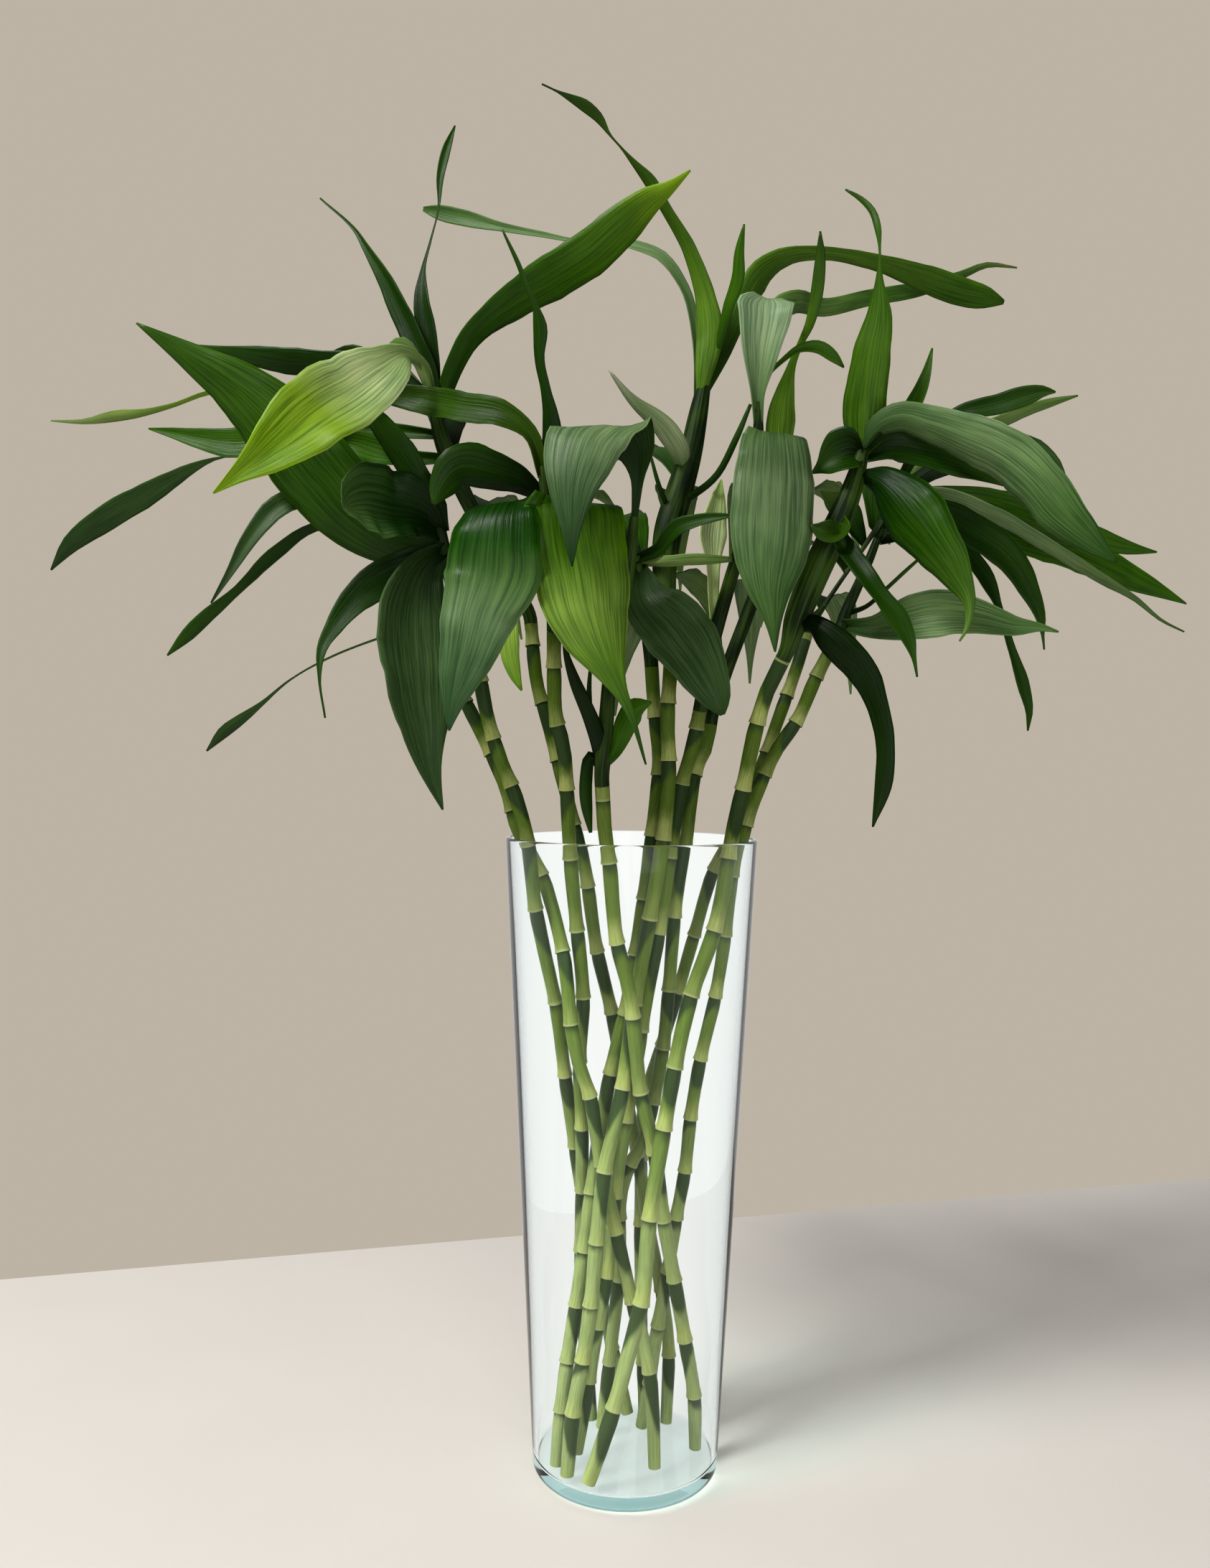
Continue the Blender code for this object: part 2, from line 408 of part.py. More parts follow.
def seen(across, down, back):
    """Point of the scene that shows at a pixel of the photograph and stands so far back, in metres."""
    ray = EYE_TURN @ Vector(((across - PHOTO_WIDE / 2) / FOCAL_PX, (PHOTO_HIGH / 2 - down) / FOCAL_PX, -1))
    return EYE + ray * (back - EYE.y) / ray.y


def on_floor(across, down):
    """Point of the vase's floor that shows at a pixel of the photograph."""
    ray = seen(across, down, 0) - EYE
    return EYE + ray * (FLOOR_TOP - EYE.z) / ray.z


def inner_radius(height):
    """Radius of the vase's inner wall at a height."""
    outer = BASE_RADIUS + (RIM_RADIUS - BASE_RADIUS) * height / VASE_HIGH
    return outer - WALL


def kept_inside(point, radius):
    """The point, drawn in where a cane of that radius would cut the vase's wall."""
    if point.z > VASE_HIGH + RIM_CLEAR:
        return point
    room = inner_radius(min(point.z, VASE_HIGH)) - radius - RING_RISE - 2 * GAP
    if point.z < CORNER_HIGH:
        room -= FLOOR_ROUND * (CORNER_HIGH - point.z) / CORNER_HIGH
    off = Vector((point.x, point.y, 0)).length
    if off <= room:
        return point
    return Vector((point.x * room / off, point.y * room / off, point.z))


def smooth_rows(points, count):
    """Even rows along a smooth curve through the points; columns after the third ride along."""
    rows = np.array(points, dtype=float)
    knots = np.concatenate(([0.0], np.cumsum(np.linalg.norm(np.diff(rows[:, :3], axis=0), axis=1))))
    slopes = np.gradient(rows, knots, axis=0)
    fine = np.linspace(0, knots[-1], FINE_STEPS)
    span = np.clip(np.searchsorted(knots, fine, side="right") - 1, 0, len(knots) - 2)
    width = (knots[span + 1] - knots[span])[:, None]
    t = (fine - knots[span])[:, None] / width
    curve = ((2 * t**3 - 3 * t**2 + 1) * rows[span] + (t**3 - 2 * t**2 + t) * width * slopes[span]
             + (3 * t**2 - 2 * t**3) * rows[span + 1] + (t**3 - t**2) * width * slopes[span + 1])
    run = np.concatenate(([0.0], np.cumsum(np.linalg.norm(np.diff(curve[:, :3], axis=0), axis=1))))
    even = np.linspace(0, run[-1], count)
    return np.stack([np.interp(even, run, column) for column in curve.T], axis=1)


def plain_material(name, colour, roughness, alpha=1.0):
    """Principled material of one colour."""
    material = bpy.data.materials.new(name)
    material.use_nodes = True
    shader = material.node_tree.nodes["Principled BSDF"]
    shader.inputs["Base Color"].default_value = (*colour, 1)
    shader.inputs["Roughness"].default_value = roughness
    shader.inputs["Metallic"].default_value = 0
    shader.inputs["Alpha"].default_value = alpha
    return material


def add_object(name, mesh, collection, material):
    """Puts a mesh into a collection as an object with its material."""
    mesh.materials.clear()
    mesh.materials.append(material)
    thing = bpy.data.objects.new(name, mesh)
    collection.objects.link(thing)
    return thing


def round_section(centre_x, centre_z, radius, start, end, steps):
    """Points of an arc in the profile's plane, angles in degrees from +X."""
    angles = [radians(start + (end - start) * k / steps) for k in range(steps + 1)]
    return [(centre_x + radius * cos(a), centre_z + radius * sin(a)) for a in angles]


def vase_profile():
    """Half section of the vase: out along the floor, up inside, over the rim, down outside, in below."""
    floor_reach = inner_radius(FLOOR_TOP + FLOOR_ROUND) - FLOOR_ROUND
    base_reach = BASE_RADIUS - BASE_ROUND
    profile = [(0, FLOOR_TOP)]
    profile += round_section(floor_reach, FLOOR_TOP + FLOOR_ROUND, FLOOR_ROUND, -90, 0, 2)
    profile += round_section(RIM_RADIUS - WALL / 2, VASE_HIGH - WALL / 2, WALL / 2, 180, 0, 4)
    profile += round_section(base_reach, BASE_ROUND, BASE_ROUND, 0, -90, 3)
    profile += [(0, 0)]
    return profile


def build_vase(collection):
    """The vase, as its half section turned round the upright axis."""
    profile = vase_profile()
    mesh = bpy.data.meshes.new("vase")
    edges = [(k, k + 1) for k in range(len(profile) - 1)]
    mesh.from_pydata([(x, 0, z) for x, z in profile], edges, [])
    vase = add_object("vase", mesh, collection, plain_material("vase", (0.82, 0.90, 0.88), 0.05, 0.35))
    screw = vase.modifiers.new("turn", "SCREW")
    screw.axis = "Z"
    screw.steps = VASE_SIDES
    screw.render_steps = VASE_SIDES
    screw.use_merge_vertices = True
    screw.merge_threshold = MERGE
    screw.use_smooth_shade = True
    return vase


def tube(name, rows, collection, material):
    """A round rod along the rows, whose fourth column is its radius, as a closed mesh."""
    curve = bpy.data.curves.new(name, "CURVE")
    curve.dimensions = "3D"
    curve.bevel_depth = 1
    curve.bevel_resolution = ROUNDNESS
    curve.use_fill_caps = True
    spline = curve.splines.new("POLY")
    spline.points.add(len(rows) - 1)
    for point, row in zip(spline.points, rows):
        point.co = (row[0], row[1], row[2], 1)
        point.radius = row[3]
    guide = bpy.data.objects.new(name + "_line", curve)
    collection.objects.link(guide)
    bpy.context.view_layer.update()
    mesh = bpy.data.meshes.new_from_object(guide.evaluated_get(bpy.context.evaluated_depsgraph_get()))
    bpy.data.objects.remove(guide)
    bpy.data.curves.remove(curve)
    shape = bmesh.new()
    shape.from_mesh(mesh)
    bmesh.ops.remove_doubles(shape, verts=shape.verts, dist=MERGE)
    bmesh.ops.recalc_face_normals(shape, faces=shape.faces)
    shape.to_mesh(mesh)
    shape.free()
    mesh.shade_smooth()
    mesh.name = name
    return add_object(name, mesh, collection, material)


def cane_route(cane):
    """The cane's middle line, foot first, as rows of place and photograph row."""
    foot = on_floor(*cane.foot)
    stations = [row for row, _ in cane.backs] + [cane.foot[1]]
    depths = [back * MM for _, back in cane.backs] + [foot.y]
    points = [(*kept_inside(foot, cane.radius * MM), cane.foot[1])]
    for across, down in cane.route:
        back = np.interp(down, stations, depths)
        points.append((*kept_inside(seen(across, down, back), cane.radius * MM), down))
    return points


def cane_rows(cane):
    """Rows of place and radius up the cane: a wide one at each ring, a narrow one just above it."""
    fine = smooth_rows(cane_route(cane), CANE_SAMPLES)
    run = np.concatenate(([0.0], np.cumsum(np.linalg.norm(np.diff(fine[:, :3], axis=0), axis=1))))
    radius = cane.radius * MM
    stations = [(0.0, radius)]
    for ring in cane.rings:
        at = np.interp(-ring, -fine[:, 3], run)
        stations += [(at, radius + RING_RISE), (at + RING_HIGH, radius - WAIST_DROP)]
    stations += [(run[-1] - COLLAR, radius), (run[-1], radius)]
    rows = []
    for at, wide in stations:
        place = [np.interp(at, run, fine[:, axis]) for axis in range(3)]
        rows.append((*place, wide))
    lean = Vector(rows[1][:3]) - Vector(rows[0][:3])
    dip = radius * lean.xy.length / lean.length
    lift = FLOOR_TOP + GAP + dip - rows[0][2]
    rows[0] = (rows[0][0] + lean.x / lean.z * lift, rows[0][1] + lean.y / lean.z * lift,
               rows[0][2] + lift, radius)
    return rows


def blade_mesh(name, rows, roll, sideways):
    """A leaf: a grid laid along the rows, folded along its rib, waved at its edges and given thickness."""
    centres = [Vector(row[:3]) for row in rows]
    steps = len(rows) - 1
    turns = [radians(roll) * sin(pi * k / steps) for k in range(steps + 1)]
    frames = []
    for k, centre in enumerate(centres):
        along = (centres[min(k + 1, steps)] - centres[max(k - 1, 0)]).normalized()
        side = along.cross(sideways(centre, along)).normalized()
        up = side.cross(along).normalized()
        frames.append((side * cos(turns[k]) + up * sin(turns[k]), up * cos(turns[k]) - side * sin(turns[k])))
    upright = 1 if sum(frame[1].z for frame in frames) >= 0 else -1
    grid = bmesh.new()
    bmesh.ops.create_grid(grid, x_segments=steps, y_segments=2, size=1)
    crease = HUNG_CREASE if sideways is facing_out else CREASE
    for vert in grid.verts:
        k = round((vert.co.x + 1) / 2 * steps)
        across = vert.co.y
        side, up = frames[k]
        half = max(rows[k][3], TIP_BROAD) / 2 / cos(turns[k])
        wave = EDGE_WAVE * half * (-1) ** k * across
        vert.co = centres[k] + side * across * half + up * (upright * crease * abs(across) * half + wave)
    bmesh.ops.triangulate(grid, faces=grid.faces, quad_method="FIXED")
    mesh = bpy.data.meshes.new(name)
    grid.to_mesh(mesh)
    grid.free()
    mesh.shade_smooth()
    return mesh


def add_blade(name, rows, roll, sideways, collection, material):
    """A leaf as an object with its thickness."""
    leaf = add_object(name, blade_mesh(name, rows, roll, sideways), collection, material)
    skin = leaf.modifiers.new("thickness", "SOLIDIFY")
    skin.thickness = BLADE_THICK
    skin.offset = 0
    return leaf


def rear_rows(root, rear):
    """Rows of a leaf that arches away from its root and droops, in the plane of its heading."""
    heading = radians(rear.heading)
    flat = Vector((cos(heading), sin(heading), 0))
    place = root.copy()
    rows = []
    last = len(REAR_WIDTHS) - 1
    for k, width in enumerate(REAR_WIDTHS):
        rows.append((*place, max(rear.breadth * width, TIP_BROAD)))
        tilt = radians(rear.rise) - rear.droop * DROOP_TURN * k / last
        place = place + (flat * cos(tilt) + Vector((0, 0, sin(tilt)))) * rear.length / last
    return rows


def from_eye(point, along):
    """Direction in which the photograph looks at a point."""
    return (point - EYE).normalized()


def upwards(point, along):
    """Straight down, which lays a leaf's two halves level."""
    return Vector((0, 0, -1))


def facing_out(point, along):
    """Direction that keeps a hung leaf's breadth level, from left to right, where it folds over."""
    return Vector((1, 0, 0)).cross(along)


def stem_rows(shoot, cane_end):
    """Rows of place, radius and photograph row up a stem that goes on from its cane's cut end."""
    points = [(*seen(a, d, b * MM), r * MM, d) for a, d, b, r in shoot.stem]
    rows = [tuple(row) for row in smooth_rows(points, len(points))]
    below, end = Vector(cane_end[0][:3]), Vector(cane_end[1][:3])
    ahead = (end - below).normalized()
    start = end + ahead * GAP
    radius, down = rows[0][3], rows[0][4]
    return [(*start, radius, down), (*(start + ahead * COLLAR), radius, down - 1)] + rows[1:]


def rooted(points, stem):
    """The leaf's points, the first of them moved onto the stem's middle line."""
    first = Vector(points[0][:3])
    line = smooth_rows(stem, STEM_SAMPLES)
    nearest = min(line, key=lambda row: (Vector(row[:3]) - first).length)
    return [(*nearest[:3], points[0][3])] + points[1:]


def build_shoot(name, shoot, cane_end, collection, material):
    """One leafy shoot: a stem and its blades, fused into one body."""
    stem = stem_rows(shoot, cane_end)
    leafy = bpy.data.collections.new(name + "_blades")
    bpy.context.scene.collection.children.link(leafy)
    for number, blade in enumerate(shoot.blades, start=1):
        points = [(*seen(a, d, b * MM), w * MM) for a, d, b, w in blade.points]
        rows = smooth_rows(rooted(points, stem), len(points) + 1)
        sideways = facing_out if isinstance(blade, Hung) else from_eye
        add_blade(f"{name}_blade_{number}", rows, blade.roll, sideways, leafy, material)
    for number, rear in enumerate(shoot.rear, start=1):
        downs = [-row[4] for row in stem]
        root = Vector([np.interp(-rear.row, downs, [row[axis] for row in stem]) for axis in range(3)])
        rows = smooth_rows(rear_rows(root, rear), REAR_STEPS + 1)
        add_blade(f"{name}_rear_{number}", rows, 0, upwards, leafy, material)
    shoot_body = tube(name, [row[:4] for row in stem], collection, material)
    join = shoot_body.modifiers.new("blades", "BOOLEAN")
    join.operation = "UNION"
    join.operand_type = "COLLECTION"
    join.collection = leafy
    join.solver = "MANIFOLD"
    bpy.context.view_layer.update()
    joined = bpy.data.meshes.new_from_object(shoot_body.evaluated_get(bpy.context.evaluated_depsgraph_get()))
    shoot_body.modifiers.clear()
    shoot_body.data = joined
    for leaf in list(leafy.objects):
        bpy.data.objects.remove(leaf)
    bpy.data.collections.remove(leafy)
    return shoot_body


def main():
    """Builds the vase, the canes and the leafy shoots."""
    for thing in list(bpy.data.objects):
        bpy.data.objects.remove(thing)
    plant = bpy.data.collections.new("potted_bamboo")
    bpy.context.scene.collection.children.link(plant)
    build_vase(plant)
    for number, (cane, shoot) in enumerate(zip(CANES, SHOOTS), start=1):
        wood = plain_material(f"cane_{number:02d}", CANE_TONE, 0.35)
        rows = cane_rows(cane)
        tube(f"cane_{number:02d}", rows, plant, wood)
        green = plain_material(f"leaves_{number:02d}", TONES[number % len(TONES)], 0.45)
        build_shoot(f"leaves_{number:02d}", shoot, rows[-2:], plant, green)


main()
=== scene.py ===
"""Looks of the potted bamboo: a clear glass vase, ringed canes and veined leaves around the frame."""
from collections import namedtuple
from math import cos, exp, pi, radians, sin

import bmesh
import bpy
import numpy as np
from mathutils import Matrix, Vector


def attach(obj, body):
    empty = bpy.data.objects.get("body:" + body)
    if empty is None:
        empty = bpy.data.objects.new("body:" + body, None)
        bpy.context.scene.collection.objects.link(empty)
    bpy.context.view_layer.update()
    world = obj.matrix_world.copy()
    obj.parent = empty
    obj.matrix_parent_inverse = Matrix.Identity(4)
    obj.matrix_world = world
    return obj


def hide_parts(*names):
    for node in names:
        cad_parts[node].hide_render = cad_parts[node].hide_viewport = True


MM = 0.001

# Vase, with its measures in metres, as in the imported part
VASE_HIGH = 0.400
RIM_RADIUS = 0.079
BASE_RADIUS = 0.0585
BASE_ROUND = 0.007
WALL = 0.0032
FLOOR_TOP = 0.0088
FLOOR_ROUND = 0.005
VASE_SIDES = 144
GAP = 0.0003
MERGE = 0.00001
SHARP_ANGLE = radians(50)

# Canes, with their measures in metres. A lip's rows are a distance up the cane from its ring, and how
# far it swells there. The ring counts of two canes start so far apart that each has its own patches.
RING_RISE = 0.0007
RING_LIP = [(off * MM, swell * MM) for off, swell in (
    (-7.0, 0.10), (-2.5, -0.05), (-0.35, -0.25), (0.0, 0.70), (0.9, 0.62), (2.4, 0.30), (5.5, 0.0),
    (10.0, -0.15))]
WAIST = -0.0001
FOOT_TAPER = -0.00045
FOOT_EDGE = 0.0008
ROW_APART = 0.0002
COLLAR = 0.003
RIM_CLEAR = 0.012
CORNER_HIGH = 0.05
CANE_SIDES = 22
FIRST_INTERNODE = 0.040
RINGS_APART = 20

# Leaves and stems, with their measures in metres
LEAF_THICK = 0.0006
LEAF_STRIPS = 8
FULL_RELIEF = 0.030
PLEATS = 9.0
ROWS_PER_POINT = 4
TIP_BROAD = 0.0007
CREASE = 0.30
HUNG_CREASE = -0.18
FOLD_BEND = 1.25
FOLD_DRAW = 0.12
CLASP = 0.9
CLASP_REACH = 0.014
LONG_WAVE = 210
SHORT_WAVE = 430
WAVE_HIGH = 0.055
STEM_SIDES = 16
REAR_ROWS = 32
REAR_WIDTHS = (0.25, 0.55, 0.85, 1.0, 0.95, 0.75, 0.45, 0.2, 0.05)
DROOP_TURN = 1.6

# Samples along a curve
FINE_STEPS = 400
CANE_SAMPLES = 300
STEM_SAMPLES = 60

# Viewpoint of the photograph, from which the traced points below are read
PHOTO_WIDE = 1686
PHOTO_HIGH = 2184
FOCAL_PX = 1886
SENSOR = 36
EYE = Vector((-0.017, -0.852, 0.451))
EYE_TURN = Matrix.Rotation(radians(90 - 1.18), 3, "X") @ Matrix.Rotation(radians(0.60), 3, "Z")

# Table, in metres, and the two ends of its far edge in the photograph
TABLE_HALF = 3
TABLE_DROP = 0.0002
FAR_EDGE = ((0, 1782), (PHOTO_WIDE, 1640))

# Colours as the photograph shows them, red, green and blue out of 255
WALL_COLOUR = (189, 179, 165)
TABLE_COLOUR = (231, 226, 219)
TABLE_MOTTLE = (227, 221, 214)
CANE_PALE = (150, 164, 106)
CANE_GREEN = (98, 120, 46)
CANE_TOP = (74, 100, 20)
CANE_DARK = (24, 44, 18)
CANE_PATCH = (48, 70, 34)
CANE_BLANCHED = (172, 180, 104)
CANE_RING = (164, 168, 118)
CUT_COLOUR = (214, 208, 172)
CUT_PITS = (168, 158, 110)
STEM_DARK = (8, 26, 2)
STEM_LIGHT = (52, 78, 20)

# What a leaf's and a cane's colours are multiplied by in their streaks and at a leaf's margin; a leaf's
# lighter streaks are its veins and also painted sheen
LEAF_LIGHT = (1.56, 1.38, 1.34)
LEAF_SHADE = (0.50, 0.60, 0.52)
LEAF_MARGIN = (2.3, 1.9, 2.2)
CANE_STREAK = (0.58, 0.66, 0.50)

# Glass: how far it bends light, its tints seen straight on, at its sides and through its floor, the
# heights between which the last fades, its shadow, and what it soaks up
GLASS_IOR = 1.2
GLASS_CLEAR = (0.995, 1.0, 0.995, 1.0)
GLASS_EDGE = (0.83, 0.86, 0.87, 1.0)
GLASS_FLOOR = (0.76, 0.82, 0.81, 1.0)
GLASS_FLOOR_FADE = (0.007, 0.013)
GLASS_SHADOW = (0.93, 0.96, 0.95, 1.0)
GLASS_CAST = (0.55, 0.80, 0.80, 1.0)
GLASS_DENSITY = 14.0

# Light of the room, in soft sheen, in sharp reflections, and of the white that the glass shows, which
# the table also gives off as painted light where it is seen through the glass
ROOM_GLOW = (0.30, 0.295, 0.29, 1.0)
SHEEN_GLOW = (0.09, 0.09, 0.09, 1.0)
MIRROR_GLOW = (0.80, 0.80, 0.79, 1.0)
GLASS_GLOW = (0.98, 0.98, 0.96, 1.0)

# A leaf's look: the colours of the face it turns to the viewpoint, evenly spaced from root to tip,
# most of them darker at the root as painted shade and some pale in a band as painted sheen, the
# colour of its back, and how wavy its edges are
Look = namedtuple("Look", "shades back wave")
LOOKS = {
    "dark": Look(((8, 26, 0), (20, 50, 0), (34, 66, 6)), (78, 108, 48), 1.0),
    "deep": Look(((4, 18, 0), (10, 32, 0), (16, 38, 2)), (78, 102, 54), 1.0),
    "mid": Look(((22, 52, 0), (44, 84, 0), (46, 84, 8)), (98, 128, 66), 1.0),
    # Dark at the root and along its top as painted shade, with a pale band past the middle as painted
    # sheen
    "sheen_banded": Look((
        (4, 22, 0), (8, 34, 0), (12, 48, 0), (20, 62, 0), (60, 92, 44), (82, 110, 72),
        (62, 92, 56), (50, 80, 46), (38, 68, 34)), (90, 118, 64), 0.8),
    "bright": Look((
        (20, 54, 0), (40, 76, 0), (58, 96, 6), (94, 126, 46), (72, 106, 26), (42, 78, 10),
        (22, 52, 6)), (112, 142, 80), 0.8),
    "light": Look((
        (80, 118, 20), (98, 134, 30), (96, 128, 40), (110, 130, 80)), (144, 174, 98), 1.0),
    # Pale between root and middle as a painted highlight
    "yellow": Look((
        (36, 70, 10), (112, 138, 80), (138, 158, 108), (98, 130, 28), (98, 136, 6),
        (106, 144, 6)), (130, 154, 80), 0.8),
    "white": Look((
        (96, 124, 70), (140, 160, 120), (118, 144, 98), (150, 160, 140)), (120, 144, 96), 0.8),
    "spring": Look(((84, 120, 34), (58, 94, 12), (30, 56, 6)), (100, 130, 60), 0.8),
    "fresh": Look(((50, 84, 8), (50, 86, 6), (38, 70, 10)), (100, 130, 60), 1.0),
    "tall": Look((
        (16, 44, 0), (28, 62, 0), (38, 74, 2), (46, 84, 4), (58, 96, 6),
        (110, 146, 14)), (98, 128, 66), 1.0),
    "lime": Look(((150, 182, 80), (150, 188, 80), (76, 118, 10)), (120, 160, 60), 0.8),
    "sage": Look(((30, 62, 14), (92, 122, 74), (58, 92, 40)), (100, 132, 84), 1.0),
    "arch": Look(((24, 56, 0), (70, 106, 26), (46, 84, 8)), (104, 134, 74), 1.0),
    "dusky": Look((
        (4, 24, 0), (14, 46, 0), (32, 68, 2), (52, 86, 18), (80, 112, 42)), (100, 130, 70), 0.9),
    # Front pale with painted sheen where it folds over and hangs; back, which shows where it rises, dark
    # with painted shade
    "hooked": Look((
        (60, 90, 40), (88, 114, 62), (96, 120, 76), (82, 108, 72), (46, 74, 40),
        (16, 44, 8)), (16, 42, 0), 0.8),
    "olive": Look(((34, 56, 2), (36, 66, 2), (32, 56, 6)), (90, 114, 60), 1.2),
    "bluish": Look(((34, 66, 16), (46, 76, 30), (32, 56, 22)), (90, 116, 72), 1.2),
    "grey": Look(((16, 36, 8), (56, 82, 44), (38, 64, 28)), (96, 122, 78), 1.0),
    "pale": Look(((108, 138, 72), (112, 140, 78), (78, 112, 48)), (44, 78, 8), 1.2),
    "silver": Look((
        (50, 80, 34), (62, 88, 50), (78, 102, 68), (74, 102, 62), (56, 86, 40),
        (36, 68, 20)), (32, 64, 4), 0.8),
    "drape": Look((
        (50, 80, 34), (86, 114, 72), (108, 134, 98), (110, 136, 102)), (60, 96, 30), 0.8),
    "blanched": Look((
        (130, 160, 84), (166, 188, 122), (176, 196, 142), (112, 148, 56)), (120, 150, 80), 0.8),
    "ashen": Look(((40, 70, 20), (96, 122, 80), (84, 110, 66), (60, 88, 40)), (50, 80, 30), 1.0),
    "strand": Look((
        (60, 96, 30), (70, 106, 40), (84, 118, 56), (66, 106, 38), (50, 88, 20),
        (86, 106, 58)), (60, 96, 30), 0.8),
    "broad": Look(((16, 44, 0), (36, 70, 4), (44, 80, 10)), (90, 118, 60), 1.0),
    "arm": Look((
        (28, 60, 12), (76, 104, 62), (88, 116, 74), (62, 94, 46),
        (30, 62, 12)), (90, 118, 70), 1.0),
    "frill": Look(((8, 28, 0), (18, 46, 8), (56, 86, 38)), (106, 132, 86), 3.0),
}
REAR_LOOKS = ("mid", "dark", "bluish")

# A cane: its foot and its route upwards as points of the photograph, the rows of its rings, how far
# back it stands at some rows in millimetres, and its radius in millimetres
Cane = namedtuple("Cane", "foot route rings backs radius")
CANES = (
    Cane((877, 1957),
         ((850, 1870), (832, 1790), (815, 1700), (797, 1580), (786, 1502), (773, 1400),
          (760, 1340), (746, 1270), (733, 1160), (715, 1100), (698, 1060), (685, 1020),
          (675, 980), (668, 940), (655, 905), (640, 860)),
         (1880, 1790, 1700, 1600, 1502, 1400, 1270, 1180, 1095, 1030, 950, 880),
         ((860, -26), (1165, -22), (1270, -12), (1400, 2)), 4.4),
    Cane((912, 2045),
         ((905, 1912), (897, 1870), (885, 1830), (868, 1760), (850, 1680), (833, 1600),
          (822, 1530), (805, 1480), (797, 1440), (786, 1340), (775, 1290), (757, 1230),
          (724, 1165), (702, 1090), (670, 1020), (640, 960)),
         (1912, 1815, 1720, 1625, 1530, 1430, 1330, 1225, 1130, 1050, 980),
         ((960, 14), (1165, 0), (1290, -8), (1345, -15), (1480, -17), (1600, -11), (1800, -14)), 4.3),
    Cane((820, 1975),
         ((812, 1850), (808, 1745), (810, 1662), (810, 1575), (807, 1483), (812, 1393),
          (804, 1300), (798, 1240), (793, 1170), (790, 1100), (785, 1040), (775, 1000),
          (772, 940), (772, 880)),
         (1920, 1835, 1745, 1662, 1575, 1483, 1393, 1300, 1200, 1100, 1010, 930),
         ((880, -42), (1165, -22)), 4.4),
    Cane((942, 1975),
         ((932, 1870), (920, 1790), (903, 1710), (893, 1640), (872, 1530), (852, 1415),
          (832, 1331), (812, 1200), (800, 1150), (785, 1090), (772, 1040), (762, 1000),
          (750, 960), (740, 870)),
         (1890, 1800, 1710, 1615, 1515, 1415, 1331, 1240, 1150, 1060, 980, 900),
         ((870, 20), (1165, -3), (1530, 22), (1640, 26), (1790, 35)), 4.3),
    Cane((970, 2018),
         ((968, 1945), (955, 1868), (940, 1785), (925, 1702), (912, 1608), (893, 1525),
          (876, 1380), (860, 1317), (849, 1205), (843, 1160), (839, 1095)),
         (1945, 1868, 1785, 1702, 1608, 1525, 1420, 1317, 1205),
         ((955, -50), (1165, -35), (1450, -22)), 4.5),
    Cane((763, 2043),
         ((782, 1965), (790, 1897), (802, 1820), (813, 1745), (835, 1583), (850, 1500),
          (874, 1400), (885, 1335), (897, 1258), (908, 1168), (918, 1050), (912, 990),
          (908, 930)),
         (1965, 1897, 1820, 1745, 1665, 1583, 1500, 1418, 1335, 1258, 1165, 1080, 1000),
         ((930, 12), (1165, 5), (1500, 4), (1600, 1), (1700, -5)), 4.5),
    Cane((783, 2058),
         ((800, 1960), (812, 1897), (823, 1820), (831, 1733), (842, 1635), (865, 1530),
          (884, 1403), (905, 1285), (925, 1165), (932, 1060), (930, 1010), (935, 920)),
         (1970, 1897, 1820, 1733, 1635, 1520, 1403, 1285, 1170, 1060, 980),
         ((920, -12), (1060, -14), (1165, -13), (1300, -9), (1490, -9), (1580, -20), (1635, -22)), 4.6),
    Cane((803, 2025),
         ((820, 1925), (830, 1860), (845, 1780), (860, 1640), (872, 1565), (884, 1500),
          (900, 1400), (918, 1305), (938, 1165), (950, 1092), (965, 1040), (975, 990)),
         (1925, 1850, 1780, 1670, 1565, 1440, 1305, 1200, 1092, 1015),
         ((990, -10), (1092, -2), (1165, -1), (1500, 0), (1700, 1)), 4.4),
    Cane((838, 1990),
         ((862, 1785), (878, 1625), (893, 1600), (910, 1540), (924, 1465), (932, 1385),
          (940, 1283), (957, 1165), (975, 1060), (985, 1040), (990, 1010)),
         (1900, 1785, 1700, 1625, 1540, 1465, 1385, 1283, 1180, 1080),
         ((1010, 22), (1165, 9), (1465, 9), (1640, 12)), 4.3),
    Cane((815, 2072),
         ((855, 1963), (880, 1870), (893, 1818), (905, 1700), (925, 1575), (940, 1490),
          (963, 1390), (995, 1300), (1012, 1220), (1020, 1165), (1035, 1100), (1055, 1008),
          (1070, 960), (1090, 920)),
         (1963, 1818, 1700, 1575, 1490, 1390, 1300, 1200, 1100, 1008),
         ((920, -32), (1165, -14)), 4.8),
    Cane((893, 1990),
         ((905, 1930), (915, 1860), (930, 1780), (943, 1700), (955, 1635), (963, 1562),
          (977, 1480), (998, 1393), (1012, 1308), (1022, 1225), (1037, 1165), (1065, 1080),
          (1085, 1040), (1108, 1008), (1137, 944), (1165, 890)),
         (1930, 1850, 1775, 1700, 1635, 1562, 1480, 1393, 1308, 1225, 1150, 1080, 1008, 944),
         ((890, 5), (1165, 0)), 4.3),
    Cane((900, 1973),
         ((893, 1800), (893, 1660), (900, 1530), (922, 1463), (945, 1388), (968, 1310),
          (1000, 1210), (1028, 1165), (1050, 1100), (1085, 1000), (1110, 930), (1125, 880)),
         (1900, 1800, 1710, 1620, 1530, 1463, 1388, 1310, 1220, 1130, 1050, 970),
         ((880, 45), (1165, 19), (1310, 30), (1463, 38), (1530, 40)), 4.2),
)

